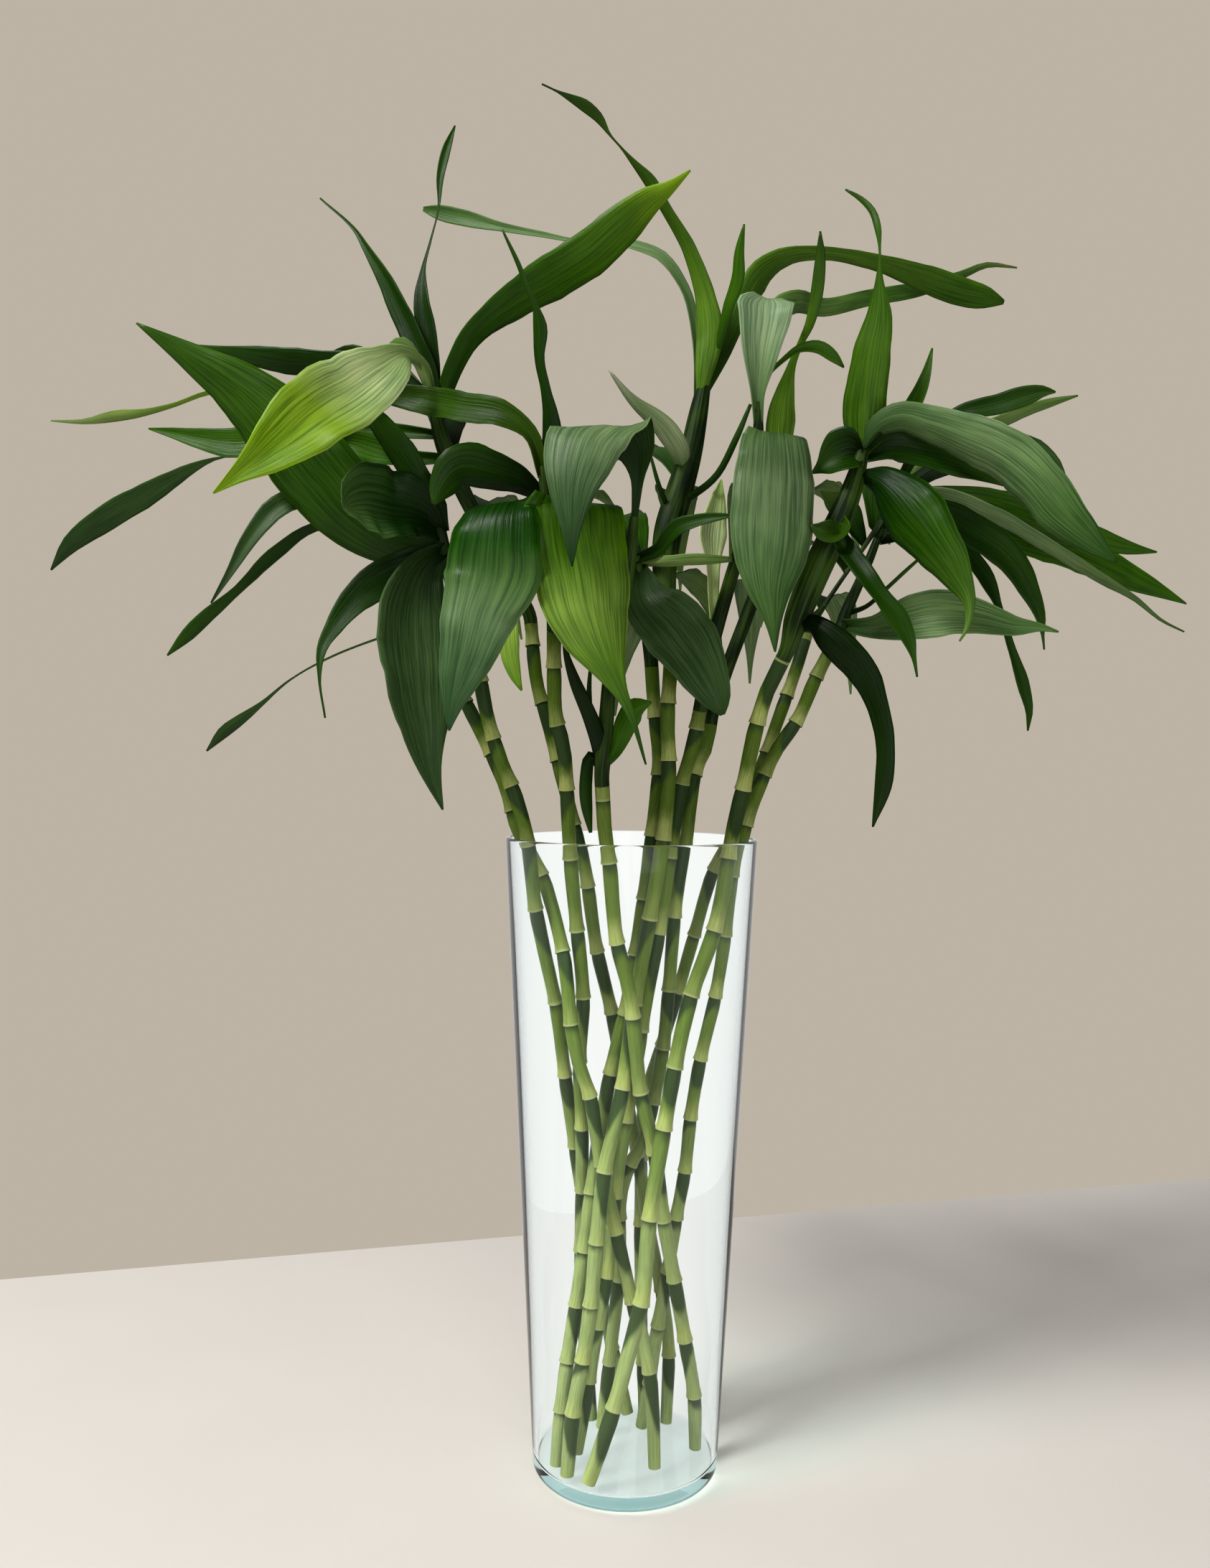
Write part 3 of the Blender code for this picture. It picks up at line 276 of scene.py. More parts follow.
# A leafy shoot: its stem above the cane, its blades from root to tip, and its rear leaves. A stem's
# points are across, down, back and radius, and a blade's are across, down, back and breadth as it
# shows, the last two in millimetres. A hung blade rises, folds over and hangs. A rear leaf has the
# row of the photograph where it leaves the stem, its heading and rise in degrees, its length and
# breadth in metres, and how far it droops.
Blade = namedtuple("Blade", "look roll points")
Hung = namedtuple("Hung", "look roll points")
Rear = namedtuple("Rear", "row heading rise length breadth droop")
Shoot = namedtuple("Shoot", "stem blades rear")
SHOOTS = (
    Shoot((
        (640, 860, -26, 4.4), (632, 820, -28, 4.6), (622, 780, -30, 4.4), (615, 745, -31, 3.6),
        (612, 715, -31, 2.4)
    ), (
        Blade("grey", 28, (
            (618, 765, -34, 8), (592, 790, -44, 22), (572, 860, -60, 44), (577, 940, -68, 42),
            (587, 1010, -70, 30), (596, 1062, -70, 16), (617, 1128, -68, 1))),
        Blade("frill", -30, (
            (620, 742, -32, 10), (590, 718, -40, 28), (545, 708, -52, 40), (505, 700, -66, 42),
            (488, 704, -72, 28), (479, 710, -76, 8))),
        Blade("broad", 12, (
            (606, 762, -28, 9), (560, 758, -27, 28), (500, 722, -26, 44), (444, 664, -25, 52),
            (388, 598, -22, 50), (325, 538, -19, 34), (272, 502, -18, 20), (235, 478, -18, 11),
            (190, 450, -20, 1))),
        Blade("dark", -28, (
            (618, 765, -30, 8), (575, 790, -38, 23), (515, 822, -50, 21), (468, 872, -62, 11),
            (449, 905, -70, 6), (445, 942, -76, 2), (453, 1000, -80, 1))),
        Blade("bluish", 35, (
            (636, 840, -26, 4), (580, 872, -16, 2), (519, 892, -4, 1.3), (455, 918, 10, 1.2),
            (400, 950, 22, 1.2), (365, 980, 30, 3), (335, 1003, 36, 7), (312, 1020, 40, 8),
            (288, 1046, 46, 1))),
    ), ()),
    Shoot((
        (640, 960, 14, 4.3), (622, 900, 18, 4.4), (608, 850, 22, 4.2), (600, 800, 25, 3.8),
        (596, 750, 27, 3.2), (592, 715, 28, 2.2)
    ), (
        Blade("bluish", 30, (
            (594, 745, 27, 8), (500, 690, 36, 7), (400, 648, 50, 4), (300, 639, 66, 2),
            (255, 660, 73, 9), (215, 685, 80, 15), (170, 710, 88, 18), (130, 735, 95, 17),
            (97, 760, 101, 12), (71, 794, 106, 1))),
        Blade("bluish", -28, (
            (596, 752, 24, 8), (500, 708, 14, 13), (430, 693, 4, 14), (393, 704, 0, 14),
            (353, 745, -6, 11), (320, 798, -12, 5), (294, 840, -16, 1))),
        Blade("dark", 38, (
            (598, 765, 26, 7), (500, 730, 26, 5), (440, 735, 29, 6), (375, 781, 34, 9),
            (330, 824, 37, 6), (292, 856, 40, 9), (262, 884, 42, 9), (233, 913, 43, 1))),
    ), (
        Rear(760, 110, 50, 0.2, 0.03, 1.1),
        Rear(820, 70, 40, 0.17, 0.028, 1.2),
        Rear(860, 112, 30, 0.13, 0.024, 1.2),
    )),
    Shoot((
        (772, 880, -42, 4.4), (768, 820, -45, 4.8), (763, 760, -47, 4.6), (760, 700, -48, 4.2),
        (757, 650, -48, 2.6)
    ), (
        Blade("dark", 25, (
            (764, 665, -48, 8), (768, 605, -48, 12), (759, 540, -48, 6), (751, 500, -49, 6),
            (751, 450, -51, 8), (746, 428, -52, 4), (733, 398, -54, 3), (727, 380, -55, 3),
            (700, 320, -60, 1))),
        Blade("olive", -28, (
            (758, 660, -49, 8), (735, 600, -50, 10), (707, 582, -48, 15), (640, 569, -34, 18),
            (585, 558, -13, 17), (545, 552, -10, 12), (510, 560, -14, 1))),
        Blade("dark", 30, (
            (758, 690, -50, 8), (720, 672, -58, 18), (680, 660, -66, 24), (640, 655, -74, 26),
            (612, 685, -78, 12), (604, 702, -80, 2))),
        Hung("sheen_banded", -12, (
            (759, 724, -48, 8), (738, 712, -56, 18), (706, 699, -68, 36), (694, 714, -80, 46),
            (686, 760, -86, 54), (682, 800, -88, 57), (665, 850, -91, 46), (652, 900, -92, 36),
            (638, 950, -93, 23), (630, 985, -94, 11), (626, 1018, -94, 1))),
        Hung("bright", 12, (
            (762, 706, -50, 10), (776, 702, -58, 30), (795, 698, -68, 54), (800, 708, -77, 58),
            (804, 748, -81, 58), (813, 800, -84, 56), (821, 850, -88, 49), (837, 900, -91, 33),
            (850, 932, -93, 19), (864, 962, -95, 9), (877, 990, -96, 5), (900, 1065, -95, 1))),
        Blade("lime", -40, (
            (762, 745, -46, 6), (735, 800, -40, 7), (712, 852, -38, 8), (708, 905, -36, 12),
            (718, 942, -34, 7), (727, 962, -34, 1))),
    ), (
        Rear(740, 60, 50, 0.1, 0.022, 0.9),
    )),
    Shoot((
        (740, 870, 20, 4.3), (716, 815, 16, 4.6), (686, 760, 12, 4.8), (655, 705, 8, 5.0),
        (630, 650, 4, 5.4), (612, 600, 2, 5.0), (603, 560, 0, 3.4)
    ), (
        Blade("dark", 28, (
            (630, 684, 6, 8), (594, 679, -3, 15), (556, 630, -6, 18), (522, 582, -8, 12),
            (500, 556, -8, 2))),
        Blade("mid", -25, (
            (622, 640, 4, 6), (560, 638, 6, 12), (520, 628, 8, 20), (482, 618, 9, 14),
            (458, 626, 10, 2))),
        Blade("yellow", -28, (
            (608, 560, -2, 5), (592, 512, -14, 6), (568, 495, -28, 10), (535, 516, -44, 32),
            (495, 547, -58, 43), (445, 578, -71, 44), (400, 612, -80, 36), (365, 638, -86, 23),
            (330, 662, -90, 10), (297, 687, -92, 1))),
        Blade("dark", 30, (
            (606, 566, 2, 7), (560, 530, 8, 12), (500, 515, 14, 18), (440, 508, 20, 16),
            (395, 505, 24, 17), (345, 496, 28, 12), (300, 487, 32, 5), (262, 480, 36, 1))),
        Blade("olive", -35, (
            (604, 570, 2, 5), (560, 520, 16, 8), (515, 500, 24, 10), (485, 492, 30, 10),
            (452, 498, 34, 2))),
        Blade("light", 30, (
            (606, 575, 2, 6), (520, 545, 24, 5), (400, 540, 44, 4), (287, 548, 62, 3),
            (240, 565, 70, 3), (200, 575, 76, 5), (160, 580, 82, 8), (120, 587, 88, 4),
            (71, 586, 96, 1))),
        Blade("mid", -28, (
            (612, 606, 4, 6), (520, 600, 20, 12), (440, 605, 30, 18), (380, 612, 38, 19),
            (325, 619, 42, 20), (280, 612, 45, 14), (240, 603, 48, 7), (207, 597, 50, 1))),
        Blade("dark", 25, (
            (608, 570, 0, 7), (600, 528, 3, 12), (579, 478, 8, 14), (557, 430, 14, 13),
            (532, 380, 20, 9), (510, 345, 26, 5), (498, 325, 30, 3), (446, 276, 40, 1))),
        Blade("pale", -30, (
            (606, 565, -2, 5), (585, 505, -18, 7), (560, 478, -24, 9), (535, 492, -28, 3))),
        Blade("dark", 28, (
            (612, 572, 2, 7), (602, 520, 9, 12), (595, 460, 13, 13), (588, 410, 17, 9),
            (590, 375, 21, 3), (600, 335, 26, 1.3), (611, 290, 31, 1.3), (614, 245, 35, 5),
            (621, 212, 38, 6), (634, 175, 42, 1))),
        Blade("tall", -25, (
            (616, 588, 2, 8), (632, 515, -3, 12), (655, 473, -8, 14), (710, 428, -20, 21),
            (765, 394, -32, 27), (825, 355, -44, 27), (868, 315, -52, 24), (905, 280, -58, 16),
            (932, 262, -62, 8), (962, 237, -66, 1))),
    ), (
        Rear(640, 98, 48, 0.2, 0.032, 1.1),
        Rear(720, 80, 30, 0.16, 0.028, 1.1),
    )),
    Shoot((
        (839, 1095, -44, 4.5), (841, 1050, -46, 5.0), (845, 1005, -48, 4.6), (848, 955, -50, 4.4),
        (858, 900, -52, 4.6), (868, 840, -54, 4.4), (877, 780, -56, 3.8), (884, 720, -58, 2.6)
    ), (
        Hung("hooked", 0, (
            (885, 760, -58, 4), (886, 700, -59, 5), (888, 660, -60, 10), (884, 626, -63, 26),
            (866, 602, -68, 44), (842, 592, -80, 48), (819, 602, -92, 46), (806, 636, -98, 41),
            (798, 680, -102, 28), (796, 730, -105, 13), (797, 789, -107, 1))),
        Blade("mid", 28, (
            (846, 1072, -45, 5), (858, 1042, -54, 8), (869, 1008, -60, 14), (884, 986, -63, 13),
            (908, 978, -64, 1))),
        Blade("deep", 15, (
            (842, 1075, -46, 9), (832, 1030, -53, 10), (818, 990, -56, 9), (801, 950, -58, 7),
            (790, 915, -60, 4), (784, 885, -61, 1))),
        Blade("dark", -10, (
            (841, 1048, -46, 4), (824, 1005, -50, 3.5), (821, 970, -50, 3.2), (824, 912, -50, 1))),
        Blade("dark", 10, (
            (840, 1072, -45, 7), (824, 1054, -38, 7), (817, 1088, -34, 8), (818, 1125, -31, 7),
            (823, 1160, -30, 2))),
    ), ()),
    Shoot((
        (908, 930, 12, 4.5), (903, 880, 8, 4.6), (896, 830, 3, 4.4), (890, 790, -2, 3.6),
        (886, 760, -5, 2.4)
    ), (
        Blade("grey", 25, (
            (888, 795, -6, 8), (900, 838, -24, 30), (935, 878, -34, 42), (968, 922, -40, 36),
            (988, 955, -43, 26), (1002, 982, -44, 14), (1007, 996, -44, 3))),
        Blade("pale", -30, (
            (888, 785, -4, 6), (930, 783, -22, 7), (975, 780, -33, 7), (1020, 779, -42, 3))),
        Blade("dark", 35, (
            (888, 778, -4, 6), (920, 765, -18, 8), (942, 738, -26, 10), (968, 727, -32, 8),
            (1000, 720, -38, 5), (1024, 718, -42, 1))),
    ), (
        Rear(800, 100, 50, 0.2, 0.03, 1.1),
        Rear(840, 62, 38, 0.15, 0.026, 1.2),
        Rear(880, 100, 20, 0.14, 0.024, 1.1),
    )),
    Shoot((
        (935, 920, -12, 4.6), (930, 860, -8, 6.0), (926, 800, -3, 7.5), (931, 740, 2, 9.0),
        (948, 680, 6, 8.5), (965, 620, 8, 7.0), (976, 560, 10, 5.5), (985, 515, 10, 3.4)
    ), (
        Blade("spring", 25, (
            (975, 578, 8, 5), (977, 545, 6, 7), (981, 515, 4, 12), (986, 485, 4, 16),
            (987, 455, 5, 17), (980, 410, 6, 13), (957, 343, 3, 9), (924, 286, -4, 7),
            (905, 253, -8, 8), (884, 228, -12, 4), (865, 205, -16, 1.3), (850, 188, -19, 1.5),
            (833, 163, -22, 6), (814, 147, -26, 7), (794, 136, -29, 4), (776, 127, -32, 1.3),
            (755, 117, -36, 1))),
        Blade("sage", -35, (
            (976, 570, 12, 7), (970, 470, 22, 6), (955, 405, 30, 6), (920, 357, 38, 7),
            (880, 341, 46, 6), (805, 336, 62, 2.5), (750, 326, 70, 4), (700, 317, 78, 6),
            (645, 304, 88, 11), (612, 296, 93, 10), (590, 291, 97, 3))),
        Blade("mid", 35, (
            (988, 530, 8, 6), (1003, 470, 2, 6), (1013, 430, -4, 7), (1027, 385, -10, 8),
            (1030, 350, -15, 6), (1037, 312, -20, 1))),
        Blade("arch", -28, (
            (984, 550, 12, 7), (1010, 490, 18, 9), (1038, 425, 24, 12), (1060, 385, 30, 18),
            (1090, 362, 38, 13), (1140, 354, 50, 9), (1200, 362, 62, 10), (1245, 374, 70, 13),
            (1290, 390, 78, 18), (1345, 409, 86, 19), (1378, 416, 91, 14), (1399, 421, 94, 3))),
        Blade("white", 25, (
            (958, 660, 2, 7), (945, 630, -10, 14), (920, 592, -24, 13), (880, 556, -36, 6),
            (848, 515, -46, 1))),
        Blade("dark", 10, (
            (970, 712, 2, 5), (1000, 660, -14, 4.2), (1025, 612, -20, 4), (1046, 563, -22, 2))),
        Blade("dark", -10, (
            (930, 712, 0, 3), (917, 672, -10, 2.6), (906, 632, -14, 1.5))),
    ), (
        Rear(720, 85, 35, 0.19, 0.03, 1.1),
        Rear(680, 118, 45, 0.19, 0.028, 1.2),
    )),
    Shoot((
        (975, 990, -10, 4.4), (985, 930, -15, 4.4), (1000, 870, -18, 4.4), (1020, 800, -22, 4.2),
        (1040, 730, -26, 4.0), (1052, 660, -29, 3.8), (1057, 600, -31, 3.4), (1057, 560, -32, 2.4)
    ), (
        Hung("silver", 8, (
            (1057, 645, -31, 7), (1065, 614, -34, 24), (1078, 603, -42, 35), (1080, 612, -53, 40),
            (1081, 660, -60, 48), (1079, 705, -63, 50), (1076, 760, -66, 47), (1073, 815, -70, 30),
            (1077, 860, -72, 12), (1080, 908, -73, 1))),
        Blade("drape", 0, (
            (1057, 590, -33, 6), (1056, 548, -34, 9), (1059, 508, -36, 19), (1062, 472, -37, 27),
            (1066, 440, -36, 33), (1067, 426, -34, 34), (1069, 416, -31, 18))),
        Blade("mid", 30, (
            (1057, 575, -31, 5), (1068, 525, -28, 3), (1090, 503, -26, 3), (1115, 486, -24, 5),
            (1140, 484, -23, 8), (1160, 496, -22, 7), (1176, 512, -21, 1))),
        Blade("blanched", -30, (
            (997, 885, -17, 6), (993, 830, -14, 7), (992, 780, -10, 10), (990, 745, -8, 18),
            (998, 705, -6, 12), (1005, 668, -4, 1))),
        Blade("strand", 0, (
            (1058, 585, -29, 4), (1061, 525, -25, 5), (1069, 468, -22, 8), (1084, 434, -18, 14),
            (1106, 421, 0, 15), (1150, 428, 38, 12), (1210, 415, 72, 11), (1290, 400, 104, 10),
            (1340, 383, 116, 6), (1376, 369, 122, 4), (1417, 373, 126, 1))),
    ), ()),
    Shoot((
        (990, 1010, 22, 4.3), (1010, 940, 25, 4.4), (1040, 860, 28, 4.4), (1068, 780, 30, 4.2),
        (1083, 700, 30, 3.8), (1086, 640, 30, 2.8)
    ), (
        Blade("spring", 25, (
            (1085, 660, 30, 8), (1084, 612, 26, 18), (1086, 582, 22, 19), (1092, 548, 17, 13),
            (1101, 514, 11, 6), (1112, 485, 5, 4), (1128, 450, -1, 6), (1139, 398, -5, 8),
            (1143, 355, -7, 6), (1143, 322, -9, 1))),
    ), (
        Rear(760, 60, 50, 0.2, 0.034, 1.1),
        Rear(740, 94, 45, 0.2, 0.032, 1.2),
        Rear(830, 85, 25, 0.15, 0.026, 1.2),
    )),
    Shoot((
        (1090, 920, -32, 4.8), (1107, 870, -34, 7.4), (1135, 800, -36, 8.8), (1166, 733, -38, 8.2),
        (1190, 673, -40, 6.0), (1204, 622, -40, 3.6)
    ), (
        Blade("fresh", 22, (
            (1202, 632, -40, 10), (1201, 580, -42, 26), (1206, 530, -44, 25), (1212, 490, -45, 23),
            (1222, 440, -46, 16), (1225, 385, -46, 4), (1226, 350, -46, 1.3), (1223, 318, -45, 4),
            (1214, 292, -41, 4), (1198, 276, -37, 3), (1178, 264, -34, 1))),
        Blade("arm", -28, (
            (1203, 632, -42, 8), (1225, 594, -46, 14), (1250, 583, -50, 18), (1292, 592, -57, 21),
            (1345, 613, -68, 27), (1395, 636, -80, 30), (1437, 670, -90, 29), (1474, 712, -98, 26),
            (1518, 752, -106, 15), (1557, 784, -112, 1))),
        Blade("dark", 30, (
            (1202, 640, -38, 8), (1245, 622, -38, 22), (1290, 630, -40, 22), (1340, 645, -42, 20),
            (1385, 664, -44, 9), (1412, 680, -45, 1))),
        Blade("dark", -30, (
            (1204, 634, -38, 8), (1191, 633, -40, 23), (1173, 638, -41, 27), (1156, 645, -40, 19),
            (1143, 652, -38, 8), (1131, 659, -36, 1))),
        Blade("mid", 35, (
            (1203, 632, -38, 6), (1245, 592, -34, 8), (1272, 568, -30, 10), (1288, 530, -27, 7),
            (1299, 485, -25, 1))),
        Blade("dusky", -25, (
            (1196, 660, -42, 8), (1225, 672, -56, 22), (1262, 712, -70, 37), (1295, 752, -80, 31),
            (1330, 800, -87, 19), (1350, 840, -91, 7), (1345, 880, -93, 2), (1337, 893, -94, 1))),
        Blade("dark", 28, (
            (1166, 740, -42, 8), (1186, 775, -58, 12), (1208, 805, -70, 11), (1230, 835, -76, 10),
            (1250, 862, -81, 12), (1266, 892, -85, 8), (1273, 915, -88, 3), (1278, 943, -90, 1))),
        Blade("deep", -20, (
            (1108, 870, -34, 10), (1134, 872, -50, 14), (1166, 900, -58, 20), (1201, 938, -62, 18),
            (1222, 985, -65, 13), (1233, 1045, -69, 11), (1230, 1095, -71, 10),
            (1216, 1152, -72, 1))),
        Blade("olive", -25, (
            (1180, 724, -42, 5), (1173, 736, -52, 9), (1158, 742, -58, 13), (1145, 739, -60, 12),
            (1136, 735, -60, 6), (1130, 731, -60, 1))),
    ), ()),
    Shoot((
        (1165, 890, 5, 4.3), (1180, 850, 8, 3.7), (1198, 810, 10, 3.2), (1215, 770, 12, 2.8),
        (1228, 735, 14, 2.2)
    ), (
        Blade("sage", 25, (
            (1176, 872, 4, 8), (1215, 875, -4, 14), (1260, 866, -14, 26), (1310, 858, -24, 30),
            (1365, 862, -34, 21), (1415, 873, -42, 12), (1450, 874, -48, 5), (1475, 880, -54, 1))),
        Blade("dark", 30, (
            (1224, 750, 13, 6), (1262, 708, 12, 10), (1312, 715, 8, 16), (1355, 742, 4, 21),
            (1402, 776, 0, 19), (1432, 820, -3, 13), (1450, 862, -5, 6), (1453, 885, -6, 2),
            (1455, 905, -6, 1))),
        Blade("ashen", -35, (
            (1226, 745, 14, 6), (1258, 695, 24, 8), (1300, 688, 32, 9), (1380, 716, 44, 10),
            (1460, 762, 56, 9), (1540, 810, 68, 7), (1580, 833, 75, 4), (1620, 865, 82, 2),
            (1650, 880, 88, 1))),
        Blade("dark", 35, (
            (1224, 755, 13, 6), (1300, 745, 30, 8), (1350, 775, 38, 10), (1372, 805, 42, 11),
            (1389, 840, 45, 5), (1407, 897, 48, 5), (1427, 960, 51, 8), (1434, 990, 52, 5),
            (1432, 1018, 54, 1))),
        Blade("dark", 10, (
            (1184, 856, 7, 4), (1205, 846, 7, 2.8), (1235, 820, 9, 2.5), (1262, 795, 12, 2.3),
            (1290, 770, 15, 1.5))),
    ), ()),
    Shoot((
        (1125, 880, 45, 4.2), (1140, 856, 47, 2.4), (1160, 826, 50, 1.6), (1187, 787, 54, 1.5),
        (1215, 745, 58, 1.8), (1240, 705, 61, 2.0), (1250, 680, 62, 1.8)
    ), (
        Blade("mid", 30, (
            (1244, 690, 61, 6), (1300, 705, 74, 9), (1360, 725, 84, 14), (1425, 748, 94, 20),
            (1500, 766, 106, 25), (1560, 795, 116, 22), (1605, 817, 124, 13),
            (1653, 841, 134, 1))),
        Blade("mid", -30, (
            (1246, 686, 61, 5), (1330, 692, 62, 14), (1400, 712, 62, 24), (1470, 738, 64, 24),
            (1540, 756, 68, 15), (1580, 765, 71, 8), (1612, 769, 74, 1))),
        Blade("dark", 30, (
            (1248, 686, 60, 6), (1275, 635, 50, 8), (1305, 600, 43, 10), (1344, 575, 36, 11),
            (1385, 566, 30, 13), (1430, 552, 24, 13), (1455, 545, 21, 7), (1471, 546, 18, 1))),
        Blade("pale", -35, (
            (1249, 684, 62, 6), (1290, 640, 66, 8), (1340, 608, 73, 9), (1390, 590, 80, 9),
            (1440, 569, 88, 8), (1475, 558, 93, 5), (1502, 551, 98, 1))),
        Blade("frill", 20, (
            (1248, 688, 61, 7), (1310, 650, 58, 14), (1370, 625, 57, 22), (1420, 625, 57, 24),
            (1460, 648, 58, 18), (1488, 680, 60, 3))),
        Blade("dusky", 25, (
            (1204, 762, 57, 4), (1192, 738, 56, 12), (1178, 716, 54, 18), (1163, 700, 52, 15),
            (1151, 690, 50, 6), (1144, 684, 50, 1))),
    ), (
        Rear(740, 75, 50, 0.2, 0.03, 1.1),
        Rear(800, 105, 40, 0.18, 0.028, 1.2),
        Rear(850, 70, 25, 0.15, 0.024, 1.2),
    )),
)


class Socket:
    """A node's output. Arithmetic on it adds Math nodes."""

    def __init__(self, finish, link):
        self.finish = finish
        self.link = link

    def maths(self, operation, *values):
        return self.finish.node("ShaderNodeMath", {"operation": operation}, dict(enumerate(values)))

    def __add__(self, other):
        return self.maths("ADD", self, other)

    def __radd__(self, other):
        return self.maths("ADD", other, self)

    def __sub__(self, other):
        return self.maths("SUBTRACT", self, other)

    def __rsub__(self, other):
        return self.maths("SUBTRACT", other, self)

    def __mul__(self, other):
        return self.maths("MULTIPLY", self, other)

    def __rmul__(self, other):
        return self.maths("MULTIPLY", other, self)

    def __abs__(self):
        return self.worked("ABSOLUTE")

    def worked(self, operation):
        return self.maths(operation, self)


class Finish:
    """A material: its Principled shader, with its constants set, and the nodes that feed it."""

    def __init__(self, name, constants):
        self.material = bpy.data.materials.new(name)
        self.material.use_nodes = True
        self.tree = self.material.node_tree
        self.shader = self.tree.nodes["Principled BSDF"]
        for socket, value in constants.items():
            self.shader.inputs[socket].default_value = value

    def node(self, kind, settings, values, output=0):
        """A node of that type: first its settings, then the values or links of its sockets."""
        made = self.tree.nodes.new(kind)
        for name, value in settings.items():
            setattr(made, name, value)
        for name, value in values.items():
            self.feed(made.inputs[name], value)
        return Socket(self, made.outputs[output])

    def feed(self, socket, value):
        if isinstance(value, Socket):
            self.tree.links.new(value.link, socket)
        else:
            socket.default_value = value

    def show(self, share, first, second):
        """Sends the material's surface a mix of two shaders."""
        both = self.node("ShaderNodeMixShader", {}, {0: share, 1: first, 2: second})
        self.feed(self.tree.nodes["Material Output"].inputs["Surface"], both)

    def mix(self, share, first, second):
        """Colour between two colours."""
        return self.node("ShaderNodeMix", {"data_type": "RGBA"}, {0: share, 6: first, 7: second}, 2)

    def tinted(self, colour, factors):
        """A colour with its red, green and blue multiplied."""
        return self.node("ShaderNodeVectorMath", {"operation": "MULTIPLY"}, {0: colour, 1: factors})

    def between(self, value, low, high):
        """0 below low, 1 above high, and smooth between them."""
        values = {"Value": value, "From Min": low, "From Max": high}
        return self.node("ShaderNodeMapRange", {"interpolation_type": "SMOOTHSTEP"}, values)

    def grain(self, across, along, detail):
        """Streaky noise from 0 to 1 on two coordinates."""
        place = self.node("ShaderNodeCombineXYZ", {}, {"X": across, "Y": along})
        values = {"Vector": place, "Scale": 1.0, "Detail": detail, "Roughness": 0.6}
        return self.node("ShaderNodeTexNoise", {"noise_dimensions": "2D"}, values)

    def speckle(self, scale, detail):
        """Even noise from 0 to 1 through the whole piece."""
        values = {"Vector": self.place(), "Scale": scale, "Detail": detail}
        return self.node("ShaderNodeTexNoise", {}, values)

    def place(self):
        """Place on the piece, in metres."""
        return self.node("ShaderNodeTexCoord", {}, {}, 3)

    def axis(self, place, number):
        return self.node("ShaderNodeSeparateXYZ", {}, {"Vector": place}, number)

    def laid(self, name):
        """The two coordinates of a UV map."""
        place = self.node("ShaderNodeUVMap", {"uv_map": name}, {})
        return self.axis(place, 0), self.axis(place, 1)

    def path(self, fact):
        """What is known of the light's path."""
        return self.node("ShaderNodeLightPath", {}, {}, fact)

    def through_glass(self):
        """1 on a path that has gone through the glass and lit nothing since, else 0."""
        through = self.path("Transmission Depth")
        lighting = self.path("Diffuse Depth")
        return through.maths("MINIMUM", through, 1.0) * (1.0 - lighting.maths("MINIMUM", lighting, 1.0))

    def surface(self, colour, roughness, height, depth):
        """Feeds the shader with what changes over the surface."""
        self.feed(self.shader.inputs["Base Color"], colour)
        self.feed(self.shader.inputs["Roughness"], roughness)
        values = {"Height": height, "Strength": 1.0, "Distance": depth}
        self.feed(self.shader.inputs["Normal"], self.node("ShaderNodeBump", {}, values))


class Room(Finish):
    """The room around the plant, whose nodes join as a material's do."""

    def __init__(self, world):
        world.use_nodes = True
        self.tree = world.node_tree
        self.shader = self.tree.nodes["Background"]


def linear(colour):
    """A colour given out of 255, as the shader's own light values."""
    values = []
    for part in colour:
        share = part / 255
        values.append(share / 12.92 if share <= 0.04045 else ((share + 0.055) / 1.055) ** 2.4)
    return (*values, 1.0)


def leaf_finish(name, paint):
    """Leaf: its painted colour, with painted shade and sheen in it, broken by veins that run from root
    to tip between low pleats, whose lighter streaks are also painted sheen.
    """
    finish = Finish(name, {"Specular IOR Level": 0.10})
    across, along = finish.laid("blade")
    tone = finish.node("ShaderNodeAttribute", {"attribute_name": paint}, {})
    relief = finish.node("ShaderNodeAttribute", {"attribute_name": paint}, {}, "Alpha")
    veins = finish.grain(across * 26.0, along * 1.7, 2.0)
    threads = finish.grain(across * 90.0, along * 3.0, 1.0)
    clouds = finish.grain(across * 1.8, along * 2.4, 2.0)
    pleats = (across * (2 * pi * PLEATS)).worked("SINE") * 0.5 + 0.5
    off_rib = abs(across - 0.5)
    rib = 1.0 - finish.between(off_rib, 0.004, 0.02)
    margin = finish.between(off_rib, 0.470, 0.492)
    # Lighter streaks: veins, and painted sheen
    light = finish.tinted(tone, LEAF_LIGHT)
    share = finish.between(veins * 0.50 + threads * 0.26 + clouds * 0.24, 0.34, 0.66)
    colour = finish.mix(share, finish.tinted(tone, LEAF_SHADE), light)
    colour = finish.mix(rib * 0.35, colour, light)
    colour = finish.mix(margin * 0.45, colour, finish.tinted(tone, LEAF_MARGIN))
    height = (veins * 0.7 + pleats * 0.18 + threads * 0.12) * relief
    finish.surface(colour, 0.27 + veins * 0.20, height, 0.0006)
    return finish.material


def stem_finish():
    """Stem between the leaves: green, streaked lengthwise, paler in patches."""
    finish = Finish("stem_green", {"Specular IOR Level": 0.12})
    around, up = finish.laid("rings")
    streaks = finish.grain(around * 22.0, up * 0.8, 2.0)
    patches = finish.grain(around * 1.5, up * 1.1, 1.0)
    share = finish.between(streaks * 0.5 + patches * 0.5, 0.38, 0.66)
    colour = finish.mix(share, linear(STEM_DARK), linear(STEM_LIGHT))
    finish.surface(colour, 0.36 + streaks * 0.2, streaks, 0.0003)
    return finish.material


